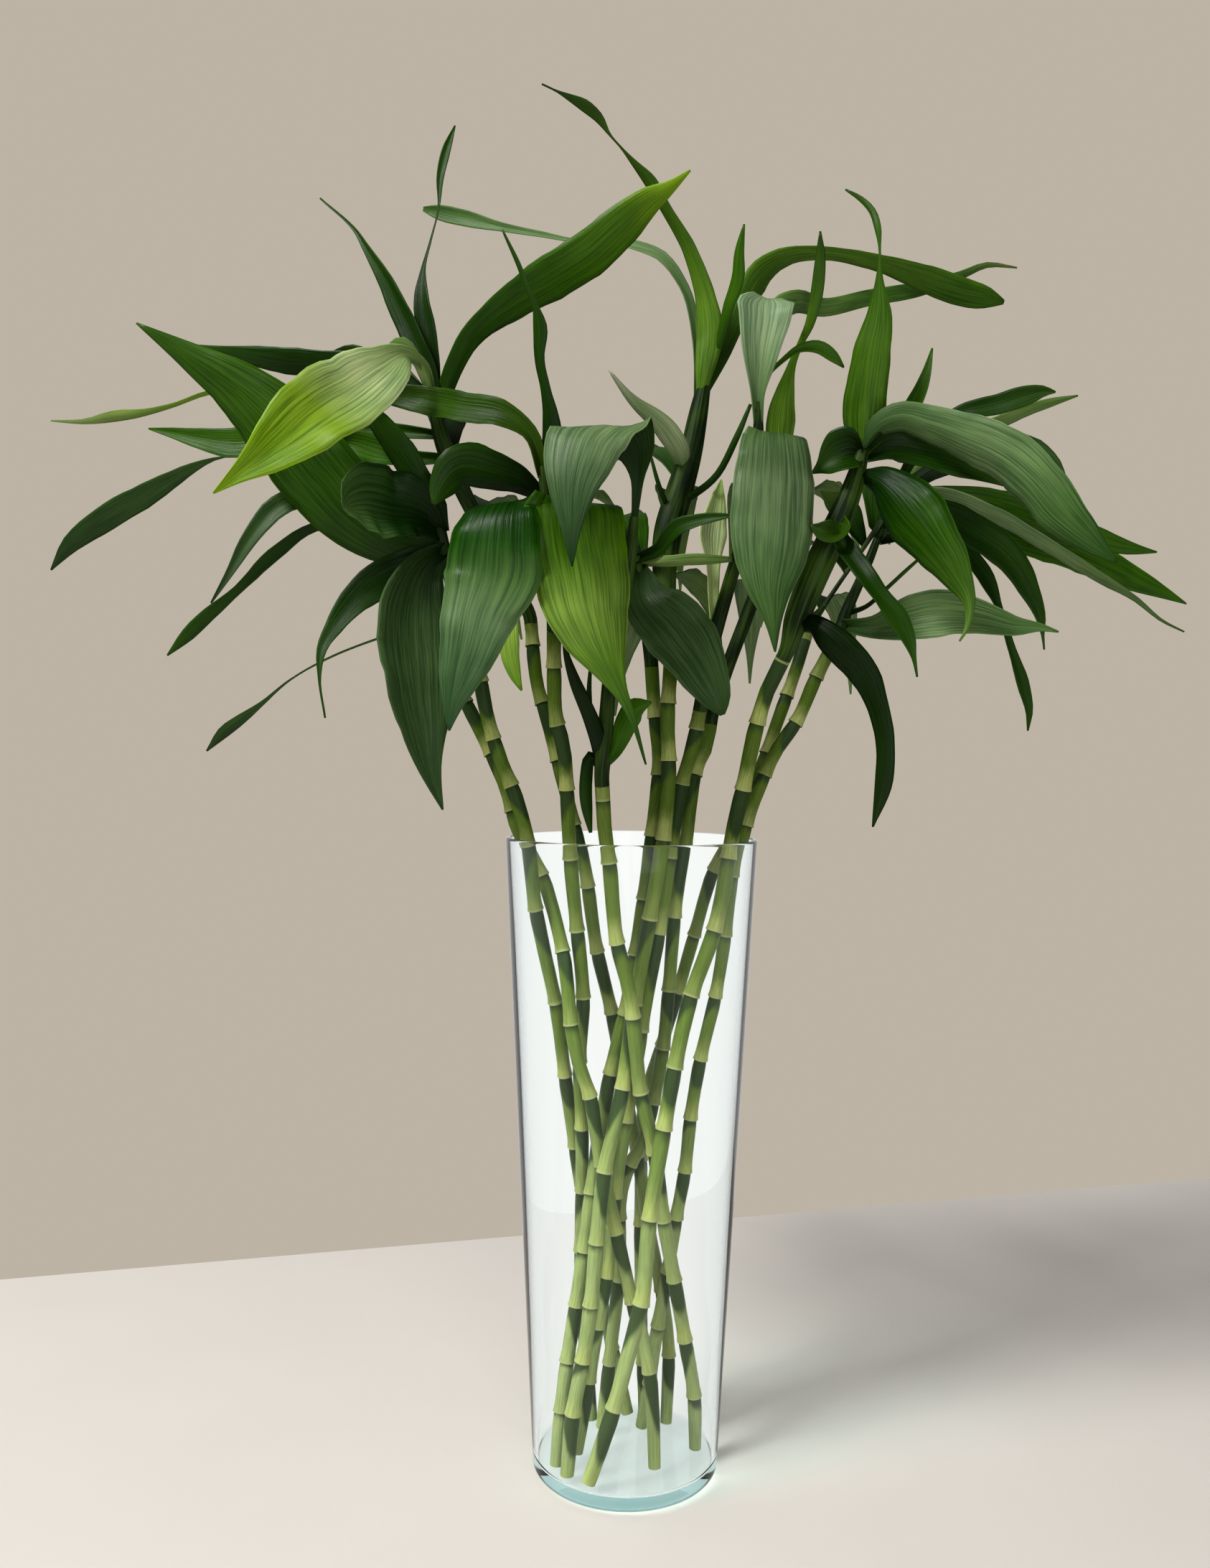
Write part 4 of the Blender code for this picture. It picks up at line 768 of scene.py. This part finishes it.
def cane_finish():
    """Cane: pale below, olive above, palest over some rings, dark in slanting patches under many."""
    finish = Finish("cane_green", {"Specular IOR Level": 0.12})
    around, up = finish.laid("rings")
    level = finish.axis(finish.place(), 2)
    count = up.worked("FLOOR")
    part = up.worked("FRACT")
    chance = finish.node("ShaderNodeTexWhiteNoise", {"noise_dimensions": "1D"}, {"W": count})
    other = finish.node("ShaderNodeTexWhiteNoise", {"noise_dimensions": "1D"}, {"W": count + 0.5})
    streaks = finish.grain(around * 34.0, up * 2.2, 2.0)
    soft = finish.grain(around * 4.0, up * 3.0, 2.0)

    # Skin, from the foot to the top of the cane
    high = finish.between(level + (chance - 0.5) * 0.08, 0.06, 0.30)
    top = finish.between(level + (other - 0.5) * 0.10, 0.34, 0.50)
    skin = finish.mix(high, linear(CANE_PALE), linear(CANE_GREEN))
    skin = finish.mix(top, skin, linear(CANE_TOP))
    over_ring = 1.0 - finish.between(part + (soft - 0.5) * 0.3, 0.02, 0.45)
    blanched = finish.between(chance, 0.42, 0.58)
    skin = finish.mix(over_ring * (0.35 + blanched * 0.5), skin, linear(CANE_BLANCHED))
    streaked = finish.between(streaks, 0.40, 0.68) * 0.6
    skin = finish.mix(streaked, skin, finish.tinted(skin, CANE_STREAK))

    # Dark patch under a ring, deeper on one side than on the other
    turn = (around + count * 0.5 + chance * 0.3) * (2 * pi)
    lean = turn.worked("COSINE") * 0.5 + 0.5
    patched = finish.between(other, 0.34, 0.40)
    reach = 0.02 + patched * (0.06 + lean * (0.14 + other * 0.44)) + (soft - 0.5) * 0.14
    dark = 1.0 - finish.between(1.0 - part - reach, -0.05, 0.13)
    patch = finish.mix(streaks, linear(CANE_DARK), linear(CANE_PATCH))

    ring = 1.0 - finish.between(part, 0.010, 0.045)
    colour = finish.mix(dark * 0.93, skin, patch)
    colour = finish.mix(ring * (0.75 - top * 0.6), colour, linear(CANE_RING))
    finish.surface(colour, 0.32 + streaks * 0.18, streaks * 0.5 + soft * 0.5, 0.0003)
    return finish.material


def cut_finish():
    """Cut end of a cane: pale, fibrous and dull."""
    finish = Finish("cut_end", {"Specular IOR Level": 0.3})
    pits = finish.speckle(1400.0, 2.0)
    colour = finish.mix(finish.between(pits, 0.35, 0.7), linear(CUT_PITS), linear(CUT_COLOUR))
    finish.surface(colour, 0.75, pits, 0.0003)
    return finish.material


def glass_finish():
    """Clear glass, greyer at its sides and green where it is thick, that lets the lamps through."""
    finish = Finish("clear_glass", {"Transmission Weight": 1.0, "IOR": GLASS_IOR, "Roughness": 0.0})
    edge = finish.node("ShaderNodeLayerWeight", {}, {"Blend": 0.5}, "Facing")
    low = 1.0 - finish.between(finish.axis(finish.place(), 2), *GLASS_FLOOR_FADE)
    tint = finish.mix(low, finish.mix(edge * edge, GLASS_CLEAR, GLASS_EDGE), GLASS_FLOOR)
    finish.feed(finish.shader.inputs["Base Color"], tint)
    clear = finish.node("ShaderNodeBsdfTransparent", {}, {"Color": GLASS_SHADOW})
    finish.show(finish.path("Is Shadow Ray"), Socket(finish, finish.shader.outputs[0]), clear)
    cast = {"Color": GLASS_CAST, "Density": GLASS_DENSITY}
    volume = finish.tree.nodes["Material Output"].inputs["Volume"]
    finish.feed(volume, finish.node("ShaderNodeVolumeAbsorption", {}, cast))
    return finish.material


def table_finish():
    """Table top: pale, dull and very faintly mottled, and glowing white as painted light where it is
    seen through the glass.
    """
    finish = Finish("pale_table", {"Specular IOR Level": 0.15})
    mottle = finish.speckle(9.0, 3.0)
    colour = finish.mix(mottle, linear(TABLE_COLOUR), linear(TABLE_MOTTLE))
    finish.surface(colour, 0.8, mottle, 0.0001)
    # Painted light: the table glows white where it is seen through the glass
    glow = finish.node("ShaderNodeEmission", {}, {"Color": GLASS_GLOW})
    finish.show(finish.through_glass() * 0.8, Socket(finish, finish.shader.outputs[0]), glow)
    return finish.material


def seen(across, down, back):
    """Point that shows at a pixel of the photograph and stands so far back, in metres."""
    right = (across - PHOTO_WIDE / 2) / FOCAL_PX
    up = (PHOTO_HIGH / 2 - down) / FOCAL_PX
    ray = EYE_TURN @ Vector((right, up, -1))
    return EYE + ray * (back - EYE.y) / ray.y


def on_level(across, down, height):
    """Point at a height that shows at a pixel of the photograph."""
    ray = seen(across, down, 0) - EYE
    return EYE + ray * (height - EYE.z) / ray.z


def inner_radius(height):
    """Radius of the vase's inner wall at a height."""
    outer = BASE_RADIUS + (RIM_RADIUS - BASE_RADIUS) * height / VASE_HIGH
    return outer - WALL


def kept_inside(point, radius):
    """The point, drawn in where a cane of that radius would cut the vase's wall."""
    if point.z > VASE_HIGH + RIM_CLEAR:
        return point
    room = inner_radius(min(point.z, VASE_HIGH)) - radius - RING_RISE - 2 * GAP
    if point.z < CORNER_HIGH:
        room -= FLOOR_ROUND * (CORNER_HIGH - point.z) / CORNER_HIGH
    off = Vector((point.x, point.y, 0)).length
    if off <= room:
        return point
    return Vector((point.x * room / off, point.y * room / off, point.z))


def lengths(rows):
    """How far along its line each row lies."""
    steps = np.linalg.norm(np.diff(rows[:, :3], axis=0), axis=1)
    return np.concatenate(([0.0], np.cumsum(steps)))


def smooth_rows(points, count):
    """Even rows along a smooth curve through the points; columns after the third ride along."""
    rows = np.array(points, dtype=float)
    knots = lengths(rows)
    slopes = np.gradient(rows, knots, axis=0)
    fine = np.linspace(0, knots[-1], FINE_STEPS)
    span = np.clip(np.searchsorted(knots, fine, side="right") - 1, 0, len(knots) - 2)
    width = (knots[span + 1] - knots[span])[:, None]
    t = (fine - knots[span])[:, None] / width
    curve = ((2 * t**3 - 3 * t**2 + 1) * rows[span] + (t**3 - 2 * t**2 + t) * width * slopes[span]
             + (3 * t**2 - 2 * t**3) * rows[span + 1] + (t**3 - t**2) * width * slopes[span + 1])
    run = lengths(curve)
    even = np.linspace(0, run[-1], count)
    return np.stack([np.interp(even, run, column) for column in curve.T], axis=1)


def directions(centres):
    """Direction of a line at each of its points."""
    last = len(centres) - 1
    return [(centres[min(k + 1, last)] - centres[max(k - 1, 0)]).normalized() for k in range(last + 1)]


def place_object(name, data):
    """Puts an object with that mesh, lamp or lens into the scene."""
    made = bpy.data.objects.new(name, data)
    bpy.context.scene.collection.objects.link(made)
    return made


def add_piece(name, shape, finishes, *nodes):
    """Puts a finished shape into the scene, smooth where it is round, in the place of its nodes."""
    for edge in shape.edges:
        edge.smooth = len(edge.link_faces) != 2 or edge.calc_face_angle() < SHARP_ANGLE
    for face in shape.faces:
        face.smooth = True
    mesh = bpy.data.meshes.new(name)
    shape.to_mesh(mesh)
    shape.free()
    for finish in finishes:
        mesh.materials.append(finish)
    piece = place_object(name, mesh)
    if nodes:
        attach(piece, "root")
        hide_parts(*nodes)
    return piece


def round_section(centre_x, centre_z, radius, start, end, steps):
    """Points of an arc in the profile's plane, angles in degrees from +X."""
    angles = [radians(start + (end - start) * k / steps) for k in range(steps + 1)]
    return [(centre_x + radius * cos(a), centre_z + radius * sin(a)) for a in angles]


def vase_profile():
    """Half section of the vase: out along the floor, up inside, over the rim, down outside, in below."""
    floor_reach = inner_radius(FLOOR_TOP + FLOOR_ROUND) - FLOOR_ROUND
    base_reach = BASE_RADIUS - BASE_ROUND
    profile = [(0, FLOOR_TOP), (floor_reach / 2, FLOOR_TOP)]
    profile += round_section(floor_reach, FLOOR_TOP + FLOOR_ROUND, FLOOR_ROUND, -90, 0, 6)
    profile += round_section(RIM_RADIUS - WALL / 2, VASE_HIGH - WALL / 2, WALL / 2, 180, 0, 10)
    profile += round_section(base_reach, BASE_ROUND, BASE_ROUND, 0, -90, 8)
    profile += [(base_reach / 2, 0), (0, 0)]
    return profile


def build_vase(glass):
    """The vase: its half section spun round the upright axis."""
    shape = bmesh.new()
    line = [shape.verts.new((x, 0, z)) for x, z in vase_profile()]
    edges = [shape.edges.new(pair) for pair in zip(line, line[1:])]
    bmesh.ops.spin(shape, geom=line + edges, cent=(0, 0, 0), axis=(0, 0, 1), angle=2 * pi,
                   steps=VASE_SIDES, use_merge=True)
    bmesh.ops.remove_doubles(shape, verts=shape.verts, dist=MERGE)
    bmesh.ops.recalc_face_normals(shape, faces=shape.faces)
    add_piece("vase_glass", shape, [glass], "vase")


def laid_grid(shape, steps, strips):
    """A grid's vertices, each with its row along the piece and its place across it, from -1 to 1."""
    grid = bmesh.ops.create_grid(shape, x_segments=steps, y_segments=strips, size=1)["verts"]
    return {vert: (round((vert.co.x + 1) / 2 * steps), vert.co.y) for vert in grid}


def face_corners(grid):
    """Every corner of a grid's faces, with its row and its place across."""
    for face in {face for vert in grid for face in vert.link_faces}:
        for loop in face.loops:
            yield loop, *grid[loop.vert]


def add_rod(shape, rows, sides, cut):
    """A round rod: a sleeve laid along rows of place, radius and ring count, with its ends closed."""
    centres = [Vector(row[:3]) for row in rows]
    sleeve = laid_grid(shape, len(rows) - 1, sides)
    place = shape.loops.layers.uv.new("rings")
    for loop, k, across in face_corners(sleeve):
        loop[place].uv = ((across + 1) / 2, rows[k][4])
    side = Vector((1, 0, 0))
    frames = []
    for along in directions(centres):
        side = (side - along * side.dot(along)).normalized()
        frames.append((side, along.cross(side)))
    for vert, (k, across) in sleeve.items():
        side, other = frames[k]
        turn = pi * (across + 1)
        vert.co = centres[k] + (side * cos(turn) + other * sin(turn)) * rows[k][3]
    bmesh.ops.remove_doubles(shape, verts=list(sleeve), dist=MERGE)
    rims = [edge for edge in shape.edges if edge.is_boundary]
    for face in bmesh.ops.holes_fill(shape, edges=rims, sides=0)["faces"]:
        face.material_index = cut
    bmesh.ops.recalc_face_normals(shape, faces=shape.faces)


def cane_line(cane):
    """The cane's middle line, foot first, as even rows of place and photograph row."""
    foot = on_level(*cane.foot, FLOOR_TOP)
    stations = [row for row, _ in cane.backs] + [cane.foot[1]]
    depths = [back * MM for _, back in cane.backs] + [foot.y]
    points = [(*kept_inside(foot, cane.radius * MM), cane.foot[1])]
    for across, down in cane.route:
        back = np.interp(down, stations, depths)
        points.append((*kept_inside(seen(across, down, back), cane.radius * MM), down))
    return smooth_rows(points, CANE_SAMPLES)


def cane_rows(cane, number):
    """Rows of place, radius and ring count up the cane, with a lip at each ring that fades above it."""
    fine = cane_line(cane)
    run = lengths(fine)
    radius = cane.radius * MM
    rings = [float(np.interp(-ring, -fine[:, 3], run)) for ring in cane.rings]
    start = max(0.0, 1 - rings[0] / FIRST_INTERNODE)
    marks = [0.0] + rings + [run[-1]]
    counts = [start] + list(range(1, len(rings) + 1))
    counts.append(len(rings) + (run[-1] - rings[-1]) / FIRST_INTERNODE)
    stations = [(0.0, FOOT_TAPER), (FOOT_EDGE, 0.0), (run[-1] - COLLAR, 0.0), (run[-1], 0.0)]
    for ring in rings:
        stations += [(ring + off, swell) for off, swell in RING_LIP]
    for low, high in zip(marks, marks[1:]):
        stations.append(((low + high) / 2, WAIST))
    rows = []
    last = -1.0
    for at, swell in sorted(stations):
        if not 0 <= at <= run[-1] or at - last < ROW_APART:
            continue
        last = at
        place = [np.interp(at, run, fine[:, axis]) for axis in range(3)]
        count = float(np.interp(at, marks, counts))
        rows.append((*place, radius + swell, RINGS_APART * number + count))
    return stood_on_floor(rows, radius)


def stood_on_floor(rows, radius):
    """The cane's rows with its slanting foot lifted until it stands just clear of the floor."""
    lean = Vector(rows[1][:3]) - Vector(rows[0][:3])
    lift = FLOOR_TOP + GAP + radius * lean.xy.length / lean.length - rows[0][2]
    shift = Vector((lean.x / lean.z * lift, lean.y / lean.z * lift, lift))
    kept = [row for row in rows[1:] if row[2] > rows[0][2] + lift + GAP]
    return [(*(Vector(rows[0][:3]) + shift), *rows[0][3:])] + kept


def cane_end(cane):
    """The cane's upper end: the point a collar below it and its last point."""
    fine = cane_line(cane)
    run = lengths(fine)
    ends = (run[-1] - COLLAR, run[-1])
    return [Vector([np.interp(at, run, fine[:, axis]) for axis in range(3)]) for at in ends]


def build_cane(number, cane, finishes):
    """One cane."""
    shape = bmesh.new()
    add_rod(shape, cane_rows(cane, number), CANE_SIDES, 1)
    piece = add_piece(f"ringed_cane_{number:02d}", shape, finishes, f"cane_{number:02d}")


def stem_rows(shoot, end):
    """Rows of place, radius and photograph row up a stem that goes on from its cane's cut end."""
    points = [(*seen(a, d, b * MM), r * MM, d) for a, d, b, r in shoot.stem]
    rows = [tuple(row) for row in smooth_rows(points, len(points))]
    ahead = (end[1] - end[0]).normalized()
    start = end[1] + ahead * GAP
    radius, down = rows[0][3], rows[0][4]
    return [(*start, radius, down), (*(start + ahead * COLLAR), radius, down - 1)] + rows[1:]


def rooted(points, stem):
    """The leaf's points, the first of them moved onto the stem's middle line."""
    first = Vector(points[0][:3])
    line = smooth_rows(stem, STEM_SAMPLES)
    nearest = min(line, key=lambda row: (Vector(row[:3]) - first).length)
    return [(*nearest[:3], points[0][3])] + points[1:]


def rear_rows(rear, stem):
    """Rows of a leaf that arches away from the stem and droops, in the plane of its heading."""
    downs = [-row[4] for row in stem]
    place = Vector([np.interp(-rear.row, downs, [row[axis] for row in stem]) for axis in range(3)])
    heading = radians(rear.heading)
    flat = Vector((cos(heading), sin(heading), 0))
    rows = []
    last = len(REAR_WIDTHS) - 1
    for k, width in enumerate(REAR_WIDTHS):
        rows.append((*place, max(rear.breadth * width, TIP_BROAD)))
        tilt = radians(rear.rise) - rear.droop * DROOP_TURN * k / last
        place = place + (flat * cos(tilt) + Vector((0, 0, sin(tilt)))) * rear.length / last
    return smooth_rows(rows, REAR_ROWS)


def from_eye(point, along):
    """Direction in which the photograph looks at a point."""
    return (point - EYE).normalized()


def from_above(point, along):
    """Direction in which a leaf is looked at from above, which lays its two halves level."""
    return Vector((0, 0, -1))


def facing_out(point, along):
    """Direction that keeps a hung leaf's breadth level, from left to right, where it folds over."""
    return Vector((1, 0, 0)).cross(along)


def leaf_frames(centres, roll, facing):
    """The directions across a leaf and out of its face, row by row, and its turn about its rib."""
    last = len(centres) - 1
    frames = []
    for k, (centre, along) in enumerate(zip(centres, directions(centres))):
        side = along.cross(facing(centre, along)).normalized()
        up = side.cross(along).normalized()
        turn = radians(roll) * sin(pi * k / last)
        frames.append((side * cos(turn) + up * sin(turn), up * cos(turn) - side * sin(turn), turn))
    return frames


def shade_along(look, share):
    """Colour of a leaf at a share of its length, with its painted shade and sheen."""
    steps = [linear(shade) for shade in look.shades]
    places = np.linspace(0.0, 1.0, len(steps))
    return [float(np.interp(share, places, channel)) for channel in zip(*steps)]


def paint_leaf(shape, blade, run, rows, look, seed):
    """A leaf's map, the colours of its two faces, which hold painted shade and sheen, and less relief
    where it is narrow.
    """
    place = shape.loops.layers.uv["blade"]
    front = shape.loops.layers.float_color["front"]
    back = shape.loops.layers.float_color["back"]
    for loop, k, across in face_corners(blade):
        loop[place].uv = ((across + 1) / 2, run[k] * 10 + seed)
        relief = min(rows[k][3] / FULL_RELIEF, 1.0)
        loop[front] = (*shade_along(look, k / (len(rows) - 1))[:3], relief)
        loop[back] = (*linear(look.back)[:3], relief)


def add_leaf(shape, rows, roll, look, facing, seed):
    """One leaf: a grid along the rows, folded at its rib, clasping its stem and waved at its edges."""
    centres = [Vector(row[:3]) for row in rows]
    run = lengths(rows)
    phases = np.random.default_rng(seed).uniform(0, 2 * pi, 4)
    frames = leaf_frames(centres, roll, facing)
    upright = 1 if sum(up.z for _, up, _ in frames) >= 0 else -1
    crease = HUNG_CREASE if facing is facing_out else CREASE
    blade = laid_grid(shape, len(rows) - 1, LEAF_STRIPS)
    paint_leaf(shape, blade, run, rows, look, seed)
    for vert, (k, across) in blade.items():
        side, up, turn = frames[k]
        half = max(rows[k][3], TIP_BROAD) / 2 / cos(turn)
        fold = crease + CLASP * exp(-run[k] / CLASP_REACH)
        phase = phases[0] if across > 0 else phases[1]
        ripple = sin(run[k] * LONG_WAVE / look.wave**0.5 + phase)
        ripple += 0.5 * sin(run[k] * SHORT_WAVE + phases[2])
        wave = WAVE_HIGH * look.wave * abs(across) ** 2 * ripple * half
        drawn = 1 - FOLD_DRAW * min(abs(fold), 1) * across**2
        rise = upright * fold * abs(across) ** FOLD_BEND * half + wave
        vert.co = centres[k] + side * across * half * drawn + up * rise


def build_stem(number, stem, finish):
    """A shoot's stem, as one round rod."""
    rod = bmesh.new()
    fine = smooth_rows(stem, 6 * len(stem))
    counts = RINGS_APART * number + lengths(fine) / FIRST_INTERNODE
    add_rod(rod, [(*row[:4], count) for row, count in zip(fine, counts)], STEM_SIDES, 0)
    return add_piece(f"green_stem_{number:02d}", rod, [finish], f"leaves_{number:02d}")


def build_leaves(number, shoot, stem, finishes):
    """A shoot's leaves, as one piece of thin blades."""
    leaves = bmesh.new()
    leaves.loops.layers.uv.new("blade")
    leaves.loops.layers.float_color.new("front")
    leaves.loops.layers.float_color.new("back")
    for k, blade in enumerate(shoot.blades):
        points = [(*seen(a, d, b * MM), w * MM) for a, d, b, w in blade.points]
        rows = smooth_rows(rooted(points, stem), ROWS_PER_POINT * len(points) + 1)
        facing = facing_out if isinstance(blade, Hung) else from_eye
        add_leaf(leaves, rows, blade.roll, LOOKS[blade.look], facing, 100 * number + k)
    for k, rear in enumerate(shoot.rear):
        look = LOOKS[REAR_LOOKS[(number + k) % len(REAR_LOOKS)]]
        add_leaf(leaves, rear_rows(rear, stem), 0, look, from_above, 100 * number + 50 + k)
    piece = add_piece(f"veined_leaves_{number:02d}", leaves, finishes, f"leaves_{number:02d}")
    skin = piece.modifiers.new("thickness", "SOLIDIFY")
    skin.thickness = LEAF_THICK
    skin.offset = 0
    skin.material_offset = 1
    return piece


def build_shoot(number, shoot, end, stem_green, leaf_faces):
    """One leafy shoot."""
    stem = stem_rows(shoot, end)
    slot = ("leaf_dark", "leaf_mid", "leaf_light")[number % 3]
    build_stem(number, stem, stem_green)
    build_leaves(number, shoot, stem, leaf_faces)


def build_stage():
    """Table top, cut off behind along the line where the photograph shows its far edge."""
    left, right = (on_level(across, down, 0) for across, down in FAR_EDGE)
    shape = bmesh.new()
    top = bmesh.ops.create_grid(shape, x_segments=1, y_segments=1, size=TABLE_HALF)
    bmesh.ops.translate(shape, verts=top["verts"], vec=(0, 0, -TABLE_DROP))
    away = (right - left).cross(Vector((0, 0, -1))).normalized()
    whole = shape.verts[:] + shape.edges[:] + shape.faces[:]
    bmesh.ops.bisect_plane(shape, geom=whole, plane_co=left, plane_no=away, clear_outer=True)
    add_piece("table_top", shape, [table_finish()])


def add_lamp(name, place, target, size, power, colour):
    """A soft square lamp that shines from a place towards a target."""
    lamp = bpy.data.lights.new(name, "AREA")
    lamp.size = size
    lamp.energy = power
    lamp.color = colour
    holder = place_object(name, lamp)
    holder.location = place
    away = Vector(place) - Vector(target)
    holder.rotation_euler = away.to_track_quat("Z", "Y").to_euler()


def light_scene():
    """Soft studio light, and a room that is beige to look at, white to be lit by and dim in sheen."""
    world = bpy.data.worlds.new("studio")
    bpy.context.scene.world = world
    room = Room(world)
    colour = room.mix(room.path("Is Glossy Ray"), ROOM_GLOW, SHEEN_GLOW)
    colour = room.mix(room.path("Is Singular Ray"), colour, MIRROR_GLOW)
    colour = room.mix(room.through_glass(), colour, GLASS_GLOW)
    colour = room.mix(room.path("Is Camera Ray"), colour, linear(WALL_COLOUR))
    room.feed(room.shader.inputs["Color"], colour)
    add_lamp("key_lamp", (-1.25, -0.95, 2.4), (0, 0, 0.4), 0.6, 62, (1.0, 0.985, 0.965))
    add_lamp("front_lamp", (0.5, -2.3, 0.9), (0, 0, 0.55), 1.0, 12, (1.0, 0.99, 0.97))


def place_camera():
    """Camera where the photograph was taken."""
    lens = bpy.data.cameras.new("viewpoint")
    lens.sensor_width = SENSOR
    lens.lens = FOCAL_PX * SENSOR / PHOTO_HIGH
    camera = place_object("viewpoint", lens)
    camera.matrix_world = Matrix.Translation(EYE) @ EYE_TURN.to_4x4()
    bpy.context.scene.camera = camera


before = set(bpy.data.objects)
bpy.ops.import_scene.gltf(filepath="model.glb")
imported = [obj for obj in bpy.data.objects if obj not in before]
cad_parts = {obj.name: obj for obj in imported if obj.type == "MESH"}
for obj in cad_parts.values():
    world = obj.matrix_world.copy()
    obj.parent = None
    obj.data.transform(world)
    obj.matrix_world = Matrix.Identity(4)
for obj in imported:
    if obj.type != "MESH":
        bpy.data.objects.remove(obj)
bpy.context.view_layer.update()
bpy.context.scene.view_settings.view_transform = "Standard"
place_camera()
light_scene()
build_stage()
build_vase(glass_finish())
cane_finishes = [cane_finish(), cut_finish()]
stem_green = stem_finish()
leaf_faces = [leaf_finish("leaf_face", "front"), leaf_finish("leaf_back", "back")]
for number, (cane, shoot) in enumerate(zip(CANES, SHOOTS), start=1):
    build_cane(number, cane, cane_finishes)
    build_shoot(number, shoot, cane_end(cane), stem_green, leaf_faces)
